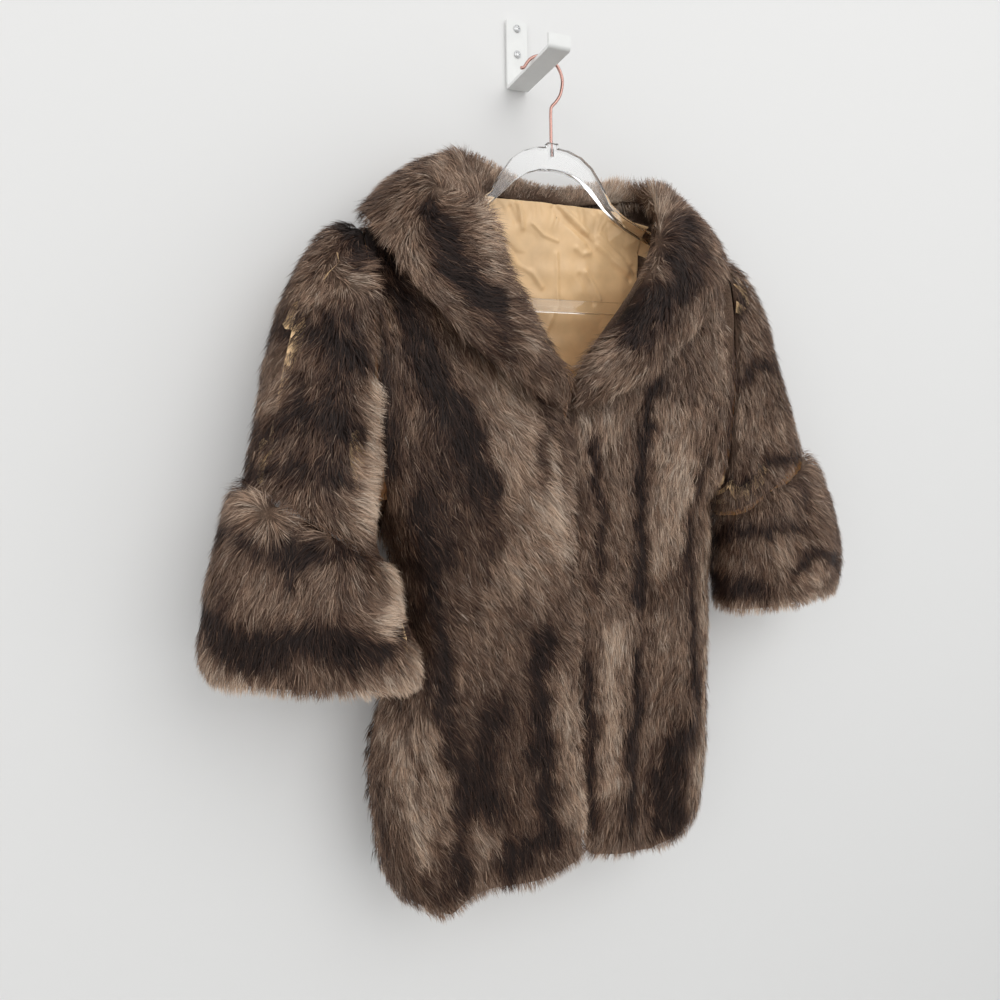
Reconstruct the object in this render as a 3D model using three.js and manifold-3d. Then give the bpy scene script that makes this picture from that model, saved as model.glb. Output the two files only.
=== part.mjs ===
// Fur jacket on a clear hanger, hooked over a wall bracket. Millimetres, +Z up.
// Origin: back face of the bracket's wall plate (Y = 0), midway between its screws.
// The room is on the -Y side. The garment and hanger are worked out from the top of
// the hanger's hub and set down at HUB by place().
import * as THREE from 'three';
import { mergeVertices } from 'three/addons/utils/BufferGeometryUtils.js';
import Module from 'manifold-3d';

const wasm = await Module();
wasm.setup();

// ---- driving dimensions --------------------------------------------------------
const HUB = new THREE.Vector3(8, 0, -113);   // hub top in the object frame (x, -, z)
const HANG_Y = -58;                          // plane of the hanger and its hook
const SEAM_Y = -58;                          // side seams and shoulder seams
const GAP = 0.5;                             // play at a seam

const WALL = 10;                             // pelt, dense underfur and facing
const LINING = 1.4;                          // satin with its interlining
const LINING_GAP = 0.8;                      // between the pelt and the lining
const COLLAR_WALL = 9;

const BODY = { hem: -698, underarm: -338, armX: 184, shoulderZ: -85, neckX: 110, neckZ: -56,
  napeZ: -48 };
const BODY_DEPTH = 50;                       // from the side seam to front or back
const ARM_POWER = 0.8;                       // squareness of an armhole

const BRACKET = { width: 22, thick: 3, top: 19, armZ: -45.2, reach: 91, lip: 9.5, bend: 3.6 };
const SCREWS = { upper: 12, lower: -11.8 };  // heights on the wall plate
const SCREW = { head: 7, dome: 2.2, shank: 4, hole: 4.7 };

const HOOK = { wire: 2.9, x: -8, z: 56.2, radius: 20, shankX: -0.5, kinkZ: 31, bore: 12 };
const HANGER = { thick: 8, bevel: 1, barTop: -142, barBottom: -154 };

// ---- small helpers -------------------------------------------------------------
const V = (x, y, z) => new THREE.Vector3(x, y, z);
const lerp = (a, b, k) => a + (b - a) * k;
const clamp01 = (k) => Math.min(1, Math.max(0, k));
const smooth = (a, b, x) => { const k = clamp01((x - a) / (b - a)); return k * k * (3 - 2 * k); };
const bell = (x, centre, width) => Math.exp(-(((x - centre) / width) ** 2));
const power = (s, p) => Math.sign(s) * Math.abs(s) ** p;

// value of a short table [[key, value], ...] at k, straight between its rows
function table(rows, k) {
  const up = rows[0][0] < rows[rows.length - 1][0] ? 1 : -1;
  if ((k - rows[0][0]) * up <= 0) return rows[0][1];
  for (let i = 1; i < rows.length; i++) {
    const [a, va] = rows[i - 1], [b, vb] = rows[i];
    if ((k - b) * up <= 0) return lerp(va, vb, (k - a) / (b - a));
  }
  return rows[rows.length - 1][1];
}

function geometry(points, faces) {
  const g = new THREE.BufferGeometry();
  g.setAttribute('position', new THREE.Float32BufferAttribute(points.flatMap((p) => [p.x, p.y, p.z]), 3));
  g.setIndex(faces.flat());
  return g;
}

// A closed sheet: two grids of points, face side and under side, joined round their edges.
// Grids run [row][column]; loop joins the last column to the first.
function sheetBody(face, under, loop) {
  const rows = face.length, cols = face[0].length;
  const points = [...face.flat(), ...under.flat()];
  const at = (side, i, j) => side * rows * cols + i * cols + (j % cols);
  const faces = [];
  const quad = (a, b, c, d) => faces.push([a, b, c], [a, c, d]);
  const span = loop ? cols : cols - 1;
  for (let i = 0; i < rows - 1; i++) {
    for (let j = 0; j < span; j++) {
      quad(at(0, i, j), at(0, i, j + 1), at(0, i + 1, j + 1), at(0, i + 1, j));
      quad(at(1, i, j), at(1, i + 1, j), at(1, i + 1, j + 1), at(1, i, j + 1));
    }
  }
  for (let j = 0; j < span; j++) {
    quad(at(0, 0, j + 1), at(0, 0, j), at(1, 0, j), at(1, 0, j + 1));
    quad(at(0, rows - 1, j), at(0, rows - 1, j + 1), at(1, rows - 1, j + 1), at(1, rows - 1, j));
  }
  if (!loop) {
    for (let i = 0; i < rows - 1; i++) {
      quad(at(0, i, 0), at(0, i + 1, 0), at(1, i + 1, 0), at(1, i, 0));
      quad(at(0, i + 1, cols - 1), at(0, i, cols - 1), at(1, i, cols - 1), at(1, i + 1, cols - 1));
    }
  }
  return outward(geometry(points, faces));
}

// turns a closed body right side out
function outward(g) {
  const p = g.attributes.position, idx = g.index.array;
  const a = V(), b = V(), c = V();
  let volume = 0;
  for (let i = 0; i < idx.length; i += 3) {
    a.fromBufferAttribute(p, idx[i]);
    b.fromBufferAttribute(p, idx[i + 1]);
    c.fromBufferAttribute(p, idx[i + 2]);
    volume += a.dot(b.cross(c));
  }
  if (volume < 0) for (let i = 0; i < idx.length; i += 3) [idx[i], idx[i + 1]] = [idx[i + 1], idx[i]];
  return g;
}

// unit normals of a grid, on the side the sample direction points to at its middle
function gridNormals(grid, away) {
  const rows = grid.length, cols = grid[0].length;
  const step = (a, b) => b.clone().sub(a);
  const normals = grid.map((row, i) => row.map((_, j) => {
    const du = step(grid[i][Math.max(j - 1, 0)], grid[i][Math.min(j + 1, cols - 1)]);
    const dv = step(grid[Math.max(i - 1, 0)][j], grid[Math.min(i + 1, rows - 1)][j]);
    return du.cross(dv).normalize();
  }));
  const middle = normals[rows >> 1][cols >> 1];
  if (middle.dot(away) < 0) normals.flat().forEach((n) => n.negate());
  return normals;
}

// the same grid moved along its normals; hold(i, j, n) may bend a normal at an edge and
// keep(point) may hold a moved point on its own side of a seam
function offsetGrid(grid, normals, distance, hold = () => {}, keep = () => {}) {
  return grid.map((row, i) => row.map((p, j) => {
    const n = normals[i][j].clone();
    hold(i, j, n);
    const moved = p.clone().addScaledVector(n.normalize(), distance);
    keep(moved);
    return moved;
  }));
}

// ---- the jacket's body ---------------------------------------------------------
const armholeMid = (BODY.shoulderZ + BODY.underarm) / 2;
const armholeHalf = (BODY.shoulderZ - BODY.underarm) / 2;
const openingX = (z) => table([[-698, 8], [-240, -12], [-216, -11], [-56, 0]], z);   // front edge line
const neckHalf = (z) => table([[-216, 0], [-195, 22], [-174, 42], [-148, 64], [-123, 84], [-100, 98],
  [-80, 106], [-56, BODY.neckX]], z);
// half width by height; the left side gives way behind its cuff
const SIDE_X = {
  left: [[-712, 172], [-685, 185], [-655, 194], [-600, 198], [-545, 197], [-510, 190], [-480, 174], [-430, 165],
    [-375, 174], [-338, BODY.armX]],
  right: [[-698, 171], [-655, 181], [-600, 184], [-520, 184], [-470, 186], [-400, 183],
    [-338, BODY.armX]],
};
const sideX = (side, z) => table(side < 0 ? SIDE_X.left : SIDE_X.right, z);

// Rows of a panel from hem to shoulder: k in 0..1 up to the underarm, then the armhole
// angle t in 0..PI. 'rise' is the share of the way from underarm to the top edge.
const LOWER_ROWS = 9, UPPER_ROWS = 10;
const bodyRows = [];
for (let i = 0; i < LOWER_ROWS; i++) bodyRows.push({ k: i / LOWER_ROWS, t: 0, rise: 0, armhole: 0 });
for (let i = 0; i <= UPPER_ROWS; i++) {
  const t = (Math.PI * i) / UPPER_ROWS;
  bodyRows.push({ k: 1, t, rise: (1 - Math.cos(t)) / 2, armhole: Math.abs(Math.sin(t)) ** ARM_POWER });
}
const rowZ = (row, hemZ, topZ) => (row.k < 1 ? lerp(hemZ, BODY.underarm, row.k)
  : lerp(BODY.underarm, topZ, row.rise));

// Soft standing folds of the fronts and back. x: place across, lean: shift of the fold
// from hem to top, width, depth (+ stands proud), from/to: heights between which it shows.
const FOLDS = {
  front_left: [
    { x: -34, lean: 0, width: 26, depth: 5, from: -700, to: -220 },
    { x: -88, lean: 12, width: 22, depth: -6, from: -700, to: -260 },
    { x: -128, lean: 4, width: 20, depth: 5, from: -720, to: -430 },
    { x: -152, lean: 0, width: 10, depth: -4, from: -720, to: -520 },
    { x: -112, lean: -30, width: 16, depth: -7, from: -420, to: -150 },
  ],
  front_right: [
    { x: 40, lean: 4, width: 20, depth: 5, from: -720, to: -330 },
    { x: 78, lean: 6, width: 16, depth: -6, from: -720, to: -380 },
    { x: 92, lean: -20, width: 17, depth: -8, from: -470, to: -190 },
    { x: 128, lean: 0, width: 24, depth: 6, from: -700, to: -210 },
    { x: 154, lean: 0, width: 11, depth: -4, from: -560, to: -330 },
  ],
  back: [
    { x: -96, lean: 0, width: 30, depth: -5, from: -720, to: -330 },
    { x: 0, lean: 0, width: 26, depth: -5, from: -720, to: -420 },
    { x: 98, lean: 0, width: 30, depth: -6, from: -720, to: -360 },
  ],
};
function foldDepth(folds, x, z) {
  let sum = 0;
  for (const f of folds) {
    const along = clamp01((z - f.from) / (f.to - f.from));
    const show = smooth(1, 0.6, along) * lerp(1, 0.75, along);
    sum += f.depth * show * bell(x, f.x + f.lean * along, f.width);
  }
  return sum;
}
// folds die out at a panel's edges so that its seams stay true
const keepEdges = (u) => smooth(0, 0.1, u) * smooth(1, 0.9, u);

// How far the side of a panel stands off the side seam: exact at the armhole's edge and
// coming up softly to it across the panel.
function sideDepth(row, z, u) {
  const soft = row.t > Math.PI / 2 ? row.armhole : smooth(-450, -240, z);
  return BODY_DEPTH * lerp(soft, row.armhole, smooth(0.78, 1, u));
}

// Front edge of a front panel, seen from the side: how far it stands out, by height.
const frontOut = {
  front_left: [[-684, -108], [-500, -110], [-300, -112], [-216, -108], [-174, -102], [-120, -90],
    [-80, -77], [-64, -70], [-58, -65], [-56, SEAM_Y]],
  front_right: [[-684, -103], [-500, -105], [-300, -107], [-216, -105], [-174, -100], [-120, -89],
    [-80, -77], [-64, -70], [-58, -65], [-56, SEAM_Y]],
};
// how far a front's hem is lifted at the opening and at the side seam, and how far it sags between
const HEM_LIFT = {
  front_left: { opening: 11, side: 1, sag: -17, at: 0.81 },
  front_right: { opening: 10, side: 13, sag: -13, at: 0.52 },
};
const FRONT_COLS = 12;
function frontGrid(name) {
  const side = name === 'front_left' ? -1 : 1;
  return bodyRows.map((row) => {
    const line = [];
    for (let j = 0; j <= FRONT_COLS; j++) {
      const u = j / FRONT_COLS;
      const lift = HEM_LIFT[name];
      const hemZ = BODY.hem + lift.opening * bell(u, 0, 0.25) + lift.side * bell(u, 1, 0.2)
        + lift.sag * bell(u, lift.at, 0.17);
      const z = rowZ(row, hemZ, lerp(BODY.neckZ, BODY.shoulderZ, u));
      const edgeZ = rowZ(row, hemZ, BODY.neckZ);
      const edgeX = openingX(edgeZ) + side * (GAP / 2 + neckHalf(edgeZ));
      const outerX = side * (row.k < 1 ? sideX(side, z) : BODY.armX);
      const x = lerp(edgeX, outerX, u);
      const centreDepth = SEAM_Y - table(frontOut[name], edgeZ);
      const round = (1 - u ** 2.5) ** (1 / 2.5);
      const depth = lerp(sideDepth(row, z, u), centreDepth, round);
      const y = SEAM_Y - GAP / 2 - depth - foldDepth(FOLDS[name], x, z) * keepEdges(u) * (1 - row.rise);
      line.push(V(x, y, z));
    }
    return line;
  });
}

const BACK_COLS = 20;
function backGrid() {
  return bodyRows.map((row) => {
    const line = [];
    for (let j = 0; j <= BACK_COLS; j++) {
      const u = (2 * j) / BACK_COLS - 1, m = Math.abs(u);
      const topX = m * BODY.armX;
      const topZ = topX > BODY.neckX
        ? lerp(BODY.neckZ, BODY.shoulderZ, (topX - BODY.neckX) / (BODY.armX - BODY.neckX))
        : lerp(BODY.napeZ, BODY.neckZ, smooth(50, BODY.neckX, topX));
      const hemZ = BODY.hem - 3 + HEM_LIFT.front_left.side * bell(u, -1, 0.25)
        + HEM_LIFT.front_right.side * bell(u, 1, 0.25);
      const z = rowZ(row, hemZ, topZ);
      const x = u * (row.k < 1 ? sideX(u, z) : BODY.armX);
      const centreDepth = lerp(BODY_DEPTH, 32, smooth(0.35, 0.95, row.rise));
      const nape = 1 - smooth(0.36, 0.6, m);
      const round = lerp((1 - m ** 2.6) ** (1 / 2.6), nape, smooth(0.8, 1, row.rise));
      const fold = foldDepth(FOLDS.back, x, z) * keepEdges((u + 1) / 2) * (1 - row.rise);
      line.push(V(x, SEAM_Y + GAP / 2 + lerp(sideDepth(row, z, m), centreDepth, round) + fold, z));
    }
    return line;
  });
}

// the edge of a body panel that meets a sleeve or a seam is cut square to it
function holdSide(row, n, out) {
  const cut = smooth(0, 0.35, row.t / Math.PI);
  if (row.k < 1 || row.t === 0) n.set(out, 0, 0);
  else n.x = lerp(out * 0.9, 0, cut);
}
function frontPanel(name) {
  const side = name === 'front_left' ? -1 : 1;
  const face = frontGrid(name);
  const under = offsetGrid(face, gridNormals(face, V(0, -1, 0)), -WALL, (i, j, n) => {
    if (j === 0) n.x = 0;
    if (j === FRONT_COLS) holdSide(bodyRows[i], n, side);
    if (i === bodyRows.length - 1) { n.y = 0; n.z = Math.abs(n.z) + 0.6; }
    if (i === 0) n.z = 0;
  }, (p) => { p.y = Math.min(p.y, SEAM_Y - GAP / 2); });
  return sheetBody(face, under, false);
}
const backKeep = (p) => { p.y = Math.max(p.y, SEAM_Y + GAP / 2); };
function backHold(i, j, n) {
  if (j === 0) holdSide(bodyRows[i], n, -1);
  if (j === BACK_COLS) holdSide(bodyRows[i], n, 1);
  const m = Math.abs((2 * j) / BACK_COLS - 1);
  if (i === bodyRows.length - 1) {
    const shoulder = smooth(0.42, 0.58, m);
    n.set(n.x * shoulder, lerp(1, 0, shoulder), lerp(0, 1, shoulder));
  }
  if (i === 0) n.z = 0;
}
function backPanels() {
  const face = backGrid();
  const normals = gridNormals(face, V(0, 1, 0));
  const under = offsetGrid(face, normals, -WALL, backHold, backKeep);
  const liningFace = offsetGrid(face, normals, -WALL - LINING_GAP, backHold, backKeep);
  const liningUnder = offsetGrid(face, normals, -WALL - LINING_GAP - LINING, backHold, backKeep);
  // the lining shows in the neck: it stops short of the shoulders, the side seams and the hem
  const trim = (grid) => grid.slice(1).map((row) => row.slice(4, -4));
  const lining = sheetBody(trim(liningFace), trim(liningUnder), false);
  return { back: sheetBody(face, under, false), lining };
}

// ---- sleeves and cuffs ---------------------------------------------------------
// Each ring of a sleeve is a flattened hoop given by its outer fold, its inner fold and
// half its depth from front to back. The first ring is the armhole.
const ARMHOLE_X = BODY.armX + GAP;
const ARMHOLE = { out: [ARMHOLE_X, SEAM_Y, BODY.shoulderZ], in: [ARMHOLE_X, SEAM_Y, BODY.underarm],
  deep: BODY_DEPTH };
const SLEEVES = {
  left: {
    side: -1,
    sleeve: [
      ARMHOLE,
      { out: [212, -60, -89], in: [187.5, -64, -343], deep: 52 },
      { out: [237, -60, -122], in: [189.5, -73, -348], deep: 53 },
      { out: [257, -61, -160], in: [190, -82, -354], deep: 52 },
      { out: [270, -62, -208], in: [189.5, -90, -359], deep: 51 },
      { out: [280, -62, -258], in: [188.5, -96, -364], deep: 50 },
      { out: [290, -62, -304], in: [187, -101, -370], deep: 48 },
    ],
    cuff: [
      { out: [304, -60, -338], in: [178, -110, -392], deep: 54 },
      { out: [314, -60, -368], in: [172, -116, -413], deep: 53 },
      { out: [326, -61, -402], in: [165, -121, -435], deep: 51 },
      { out: [331, -62, -434], in: [161, -124, -456], deep: 48 },
      { out: [327, -64, -457], in: [162, -125, -471], deep: 44 },
    ],
    lobes: [{ at: 4.35, width: 0.16, depth: -7 }, { at: 4.0, width: 0.3, depth: 4 },
      { at: 4.9, width: 0.35, depth: 4 }, { at: 1.3, width: 0.2, depth: -5 }],
    creases: [{ at: 4.2, width: 0.35, depth: -4 }, { at: 5.3, width: 0.3, depth: 4 }],
  },
  right: {
    side: 1,
    sleeve: [
      ARMHOLE,
      { out: [210, -59, -98], in: [187.5, -60, -342], deep: 49 },
      { out: [231, -60, -124], in: [190, -61, -345], deep: 47 },
      { out: [246, -61, -160], in: [191.5, -63, -349], deep: 46 },
      { out: [263, -62, -206], in: [192, -65, -353], deep: 45 },
      { out: [280, -63, -252], in: [192.5, -67, -356], deep: 44 },
      { out: [296, -64, -294], in: [193, -68, -360], deep: 43 },
    ],
    cuff: [
      { out: [325, -64, -325], in: [191, -71, -388], deep: 50 },
      { out: [341, -63, -358], in: [190, -73, -410], deep: 51 },
      { out: [354, -62, -394], in: [189, -75, -432], deep: 50 },
      { out: [361, -62, -428], in: [188.5, -77, -446], deep: 47 },
      { out: [357, -63, -456], in: [189, -79, -462], deep: 42 },
    ],
    lobes: [{ at: 4.5, width: 0.3, depth: 4 }, { at: 4.0, width: 0.16, depth: -6 },
      { at: 3.5, width: 0.2, depth: 5 }, { at: 1.7, width: 0.2, depth: -5 }],
    creases: [{ at: 4.9, width: 0.3, depth: -4 }, { at: 4.2, width: 0.3, depth: 4 }],
  },
};
const RING = 28;
// the angle runs from the inner fold (0) by the back (quarter turn) and the outer fold to the front
function ringPoints(ring, side, inset, dents, share) {
  const out = V(side * ring.out[0], ring.out[1], ring.out[2]);
  const inn = V(side * ring.in[0], ring.in[1], ring.in[2]);
  const centre = out.clone().add(inn).multiplyScalar(0.5);
  const across = inn.clone().sub(out);
  const half = across.length() / 2 - inset;
  across.normalize();
  const deep = V(0, 1, 0);
  deep.addScaledVector(across, -deep.dot(across)).normalize();
  const points = [];
  for (let i = 0; i < RING; i++) {
    const t = (2 * Math.PI * i) / RING;
    let dent = 0;
    for (const d of dents) dent += d.depth * share * bell(t, d.at, d.width);
    points.push(centre.clone()
      .addScaledVector(across, (half + dent) * Math.cos(t))
      .addScaledVector(deep, (ring.deep - inset + dent) * power(Math.sin(t), ARM_POWER)));
  }
  return points;
}
// the hoop a cuff starts on: a seam's play beyond the sleeve's last one, and a little fuller
function cuffTop(ring, fuller) {
  const out = V(...ring.out), inn = V(...ring.in);
  const across = inn.clone().sub(out).normalize();
  const down = V(0, 1, 0).addScaledVector(across, -across.y).cross(across).normalize();
  if (down.z > 0) down.negate();
  const shift = down.multiplyScalar(GAP);
  return { out: out.add(shift).addScaledVector(across, -fuller).toArray(),
    in: inn.add(shift).addScaledVector(across, fuller).toArray(), deep: ring.deep + fuller };
}
function tube(rings, side, dents, shareAt) {
  const share = (i) => shareAt(i / (rings.length - 1));
  const grid = (inset) => rings.map((ring, i) => ringPoints(ring, side, inset, dents, share(i)));
  return sheetBody(grid(0), grid(WALL), true);
}

// ---- shawl collar --------------------------------------------------------------
// Sections of one side from the point of the V to the nape, each a row of five points.
// seam: where it is sewn on, rise: inner side of the roll, roll: top of the roll,
// fall: its outer side, edge: outer edge.
const COLLAR_PARTS = ['seam', 'rise', 'roll', 'fall', 'edge'];
const COLLAR = [
  [[0, -110, -214], [0, -119, -217], [0, -127, -225], [0, -130, -236], [0, -125, -244]],
  [[22, -108.5, -194], [21, -121, -194], [25, -131, -202], [34, -134, -218], [34, -127, -236]],
  [[43, -104.5, -173], [41, -121, -170], [48, -134, -176], [66, -136, -196], [70, -127, -219]],
  [[65, -99, -148], [59, -117, -141], [66, -131, -142], [94, -134, -166], [104, -126, -193]],
  [[85, -94, -122], [76, -110, -108], [84, -122, -100], [122, -127, -132], [139, -123, -162]],
  [[99, -87.5, -96], [88, -97, -68], [94, -105, -52], [138, -114, -90], [160, -112, -131]],
  [[107, -77.5, -70], [94, -80, -36], [96, -80, -20], [148, -88, -56], [177, -94, -97]],
  [[110, -58, -53], [95, -58, -30], [97, -54, -18], [152, -57, -41], [188, -62, -70]],
  [[100, -46, -44], [88, -46, -26], [90, -38, -10], [142, -22, -36], [172, -20, -78]],
  [[76, -39, -42], [70, -37, -26], [71, -26, -4], [96, -10, -40], [112, -8, -98]],
  [[38, -38.5, -46.5], [37, -36, -29], [38, -23, -13], [44, -10, -44], [48, -7.5, -104]],
  [[0, -38.5, -47], [0, -36, -33], [0, -23, -26], [0, -10, -44], [0, -7.5, -106]],
];
// the right side lies flatter and wider at the shoulder: by section, how much
const COLLAR_RIGHT = {
  wider: [0, 0, 0, 0, 5, 8, 9, 9, 7, 3, 0, 0],
  lower: [0, 0, 0, 0, 2, 6, 8, 8, 16, 18, 10, 0],
};
const LAST_AT_OPENING = 5;                   // the sections up to this one follow the front opening
const COLLAR_ALONG = 40, COLLAR_ACROSS = 9;
function collarPoint(section, index, part, side) {
  const [x, y, z] = section[COLLAR_PARTS.indexOf(part)];
  const soft = side > 0 && (part === 'roll' || part === 'fall') ? 1 : 0;
  const centre = index <= LAST_AT_OPENING ? openingX(z) : 0;
  const gap = index === 0 ? GAP / 2 : 0;
  const across = x + gap + soft * COLLAR_RIGHT.wider[index];
  return V(centre + side * across, y, z - soft * COLLAR_RIGHT.lower[index]);
}
function collarBody() {
  const rails = COLLAR_PARTS.map((part) => {
    const left = COLLAR.map((s, i) => collarPoint(s, i, part, -1));
    const right = COLLAR.slice(0, -1).map((s, i) => collarPoint(s, i, part, 1)).reverse();
    return new THREE.CatmullRomCurve3([...left, ...right], false, 'centripetal');
  });
  const face = [];
  for (let i = 0; i <= COLLAR_ALONG; i++) {
    const knots = rails.map((rail) => rail.getPoint(i / COLLAR_ALONG));
    const section = new THREE.CatmullRomCurve3(knots, false, 'centripetal');
    face.push(Array.from({ length: COLLAR_ACROSS + 1 }, (_, j) => section.getPoint(j / COLLAR_ACROSS)));
  }
  const normals = gridNormals(face, V(0, 0, 1));
  const under = offsetGrid(face, normals, -COLLAR_WALL, (i, j, n) => {
    if (i === 0 || i === COLLAR_ALONG) n.x = 0;
  });
  return sheetBody(face, under, false);
}

// ---- hanger, hook and bracket --------------------------------------------------
const manifoldOf = (g) => {
  g.deleteAttribute('normal');
  g.deleteAttribute('uv');
  const m = mergeVertices(g, 1e-3);
  return new wasm.Manifold(new wasm.Mesh({ numProp: 3, vertProperties: m.attributes.position.array,
    triVerts: new Uint32Array(m.index.array) }));
};
function cut(g, ...tools) {
  let solid = manifoldOf(g);
  for (const tool of tools) solid = solid.subtract(manifoldOf(tool));
  const mesh = solid.getMesh(), out = new THREE.BufferGeometry();
  out.setAttribute('position', new THREE.Float32BufferAttribute(mesh.vertProperties, 3));
  out.setIndex(new THREE.BufferAttribute(mesh.triVerts, 1));
  return out;
}

// Outline of the hanger's right half: outer edge from the hub to the foot of the end bend,
// and the inner edge of the open frame.
const HANGER_OUTER = [[5.5, 0], [5.5, -4], [16, -5], [30, -9.5], [42, -18], [52, -31], [63, -49],
  [78, -59.5], [98, -68], [150, -87.5], [196, -105.5], [207, -111], [212, -118], [211, -127],
  [204, -138], [194, -148], [184, HANGER.barBottom]];
const HANGER_INNER = [[0, -24], [14, -25], [26, -29], [40, -38], [55, -52], [66, -61.5], [80, -70],
  [98, -78], [150, -98], [190, -114], [199, -120], [200, -126], [195, -134], [188, -140],
  [180, HANGER.barTop]];
function hangerBody() {
  const mirror = (rows) => rows.map(([x, z]) => [-x, z]);
  const ring = (rows) => [...rows, ...mirror(rows).reverse()];
  const points = (rows) => rows.filter(([x], i) => !(i && x === 0))
    .map(([x, z]) => new THREE.Vector2(x, z));
  const shape = new THREE.Shape(points(ring(HANGER_OUTER)).reverse());
  shape.holes.push(new THREE.Path(points(ring(HANGER_INNER).slice(0, -1))));
  const depth = HANGER.thick - 2 * HANGER.bevel;
  const g = new THREE.ExtrudeGeometry(shape, { depth, steps: 1, bevelEnabled: true, bevelSegments: 2,
    bevelSize: HANGER.bevel, bevelOffset: -HANGER.bevel, bevelThickness: HANGER.bevel });
  g.translate(0, 0, -depth / 2);
  g.rotateX(Math.PI / 2);
  g.translate(0, HANG_Y, 0);
  const bore = new THREE.CylinderGeometry(HOOK.wire / 2 + 0.4, HOOK.wire / 2 + 0.4, HOOK.bore * 2, 24);
  bore.rotateX(Math.PI / 2);
  bore.translate(HOOK.shankX, HANG_Y, 0);
  return cut(g, bore);
}

function wireHook() {
  const path = [];
  for (let i = 0; i <= 3; i++) path.push([HOOK.shankX, lerp(-HOOK.bore + 0.5, HOOK.kinkZ - 3, i / 3)]);
  path.push([HOOK.shankX + 0.7, HOOK.kinkZ + 1.5], [5.5, 38.5], [9.6, 45]);
  for (let deg = -14; deg <= 146; deg += 16) {
    const a = (deg * Math.PI) / 180;
    path.push([HOOK.x + HOOK.radius * Math.cos(a), HOOK.z + HOOK.radius * Math.sin(a)]);
  }
  path.push([-26.4, 64.6], [-28.2, 62.8], [-30.6, 62.4]);
  const curve = new THREE.CatmullRomCurve3(path.map(([x, z]) => V(x, HANG_Y, z)), false, 'centripetal');
  const r = HOOK.wire / 2;
  const round = new THREE.Shape(Array.from({ length: 12 }, (_, i) => {
    const a = (2 * Math.PI * i) / 12;
    return new THREE.Vector2(r * Math.cos(a), r * Math.sin(a));
  }));
  return new THREE.ExtrudeGeometry(round, { steps: 84, extrudePath: curve, bevelEnabled: false });
}

function bracketBody() {
  const { width, thick, top, armZ, reach, lip, bend } = BRACKET;
  // side profile of the bent strip: (distance from the wall, height)
  const arc = (cx, cz, r, from, to) => Array.from({ length: 7 }, (_, i) => {
    const a = (lerp(from, to, i / 6) * Math.PI) / 180;
    return new THREE.Vector2(cx + r * Math.cos(a), cz + r * Math.sin(a));
  });
  const inner = bend - thick;
  const profile = [
    new THREE.Vector2(0, top), ...arc(bend, armZ + bend, bend, 180, 270),
    ...arc(reach - bend, armZ + bend, bend, 270, 360), new THREE.Vector2(reach, armZ + lip + thick),
    new THREE.Vector2(reach - thick, armZ + lip + thick),
    ...arc(reach - bend, armZ + bend, inner, 360, 270), ...arc(bend, armZ + bend, inner, 270, 180),
    new THREE.Vector2(thick, top),
  ];
  const options = { depth: width, bevelEnabled: false, steps: 1 };
  const g = new THREE.ExtrudeGeometry(new THREE.Shape(profile), options);
  g.applyMatrix4(new THREE.Matrix4().set(0, 0, -1, width / 2, -1, 0, 0, 0, 0, 1, 0, 0, 0, 0, 0, 1));
  const holes = Object.values(SCREWS).map((z) => {
    const hole = new THREE.CylinderGeometry(SCREW.hole / 2, SCREW.hole / 2, 20, 24);
    hole.translate(0, 0, z);
    return hole;
  });
  return cut(g, ...holes);
}

function screwBody(z) {
  const { head, dome, shank } = SCREW;
  const face = -BRACKET.thick - 0.3;
  const profile = [[0, -0.2], [shank / 2, -0.2], [shank / 2, face], [head / 2, face],
    [head / 2, face - 0.7], [head * 0.4, face - 1.5], [head * 0.22, face - 2.05], [0, face - dome]];
  const g = new THREE.LatheGeometry(profile.map(([r, y]) => new THREE.Vector2(r, y)).reverse(), 28);
  const slots = [0, 1].map((turn) => {
    const box = new THREE.BoxGeometry(turn ? 0.9 : 4, 2.6, turn ? 4 : 0.9);
    box.translate(0, face - dome, 0);
    return box;
  });
  const solid = cut(g, ...slots);
  solid.rotateY(0.35);
  solid.translate(0, 0, z);
  return solid;
}

// ---- assembly ------------------------------------------------------------------
const group = new THREE.Group();
group.name = 'fur_jacket_on_hanger';
function add(name, g, colour, roughness, metalness = 0) {
  const body = g.index ? g : mergeVertices(g, 1e-3);
  const material = new THREE.MeshStandardMaterial({ color: colour, roughness, metalness });
  const mesh = new THREE.Mesh(body, material);
  mesh.name = name;
  group.add(mesh);
}
const place = (g) => g.translate(HUB.x, HUB.y, HUB.z);
const FUR = { body: 0x574a40, sleeve: 0x5c4f45, cuff: 0x63564b, collar: 0x5a4c42, roughness: 0.95 };
const CUFF_FULLER = 4;                       // how much fuller a cuff is than the sleeve it is sewn to

const { back, lining } = backPanels();
add('back', place(back), FUR.body, FUR.roughness);
add('front_left', place(frontPanel('front_left')), FUR.body, FUR.roughness);
add('front_right', place(frontPanel('front_right')), FUR.body, FUR.roughness);
for (const [name, s] of Object.entries(SLEEVES)) {
  const creased = (k) => smooth(0.1, 0.6, k) * smooth(1, 0.8, k);
  const sleeve = tube(s.sleeve, s.side, s.creases, creased);
  add(`sleeve_${name}`, place(sleeve), FUR.sleeve, FUR.roughness);
  const lobed = (k) => smooth(0, 0.3, k) * smooth(1, 0.7, k);
  const top = cuffTop(s.sleeve[s.sleeve.length - 1], CUFF_FULLER);
  const cuff = tube([top, ...s.cuff], s.side, s.lobes, lobed);
  add(`cuff_${name}`, place(cuff), FUR.cuff, FUR.roughness);
}
add('collar', place(collarBody()), FUR.collar, FUR.roughness);
add('lining_back', place(lining), 0xc9a063, 0.4);
add('hanger_body', place(hangerBody()), 0xe4ebee, 0.1);
add('hanger_hook', place(wireHook()), 0xc98f7a, 0.25, 1);
add('wall_bracket', bracketBody(), 0xf0f0ee, 0.35);
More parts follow.
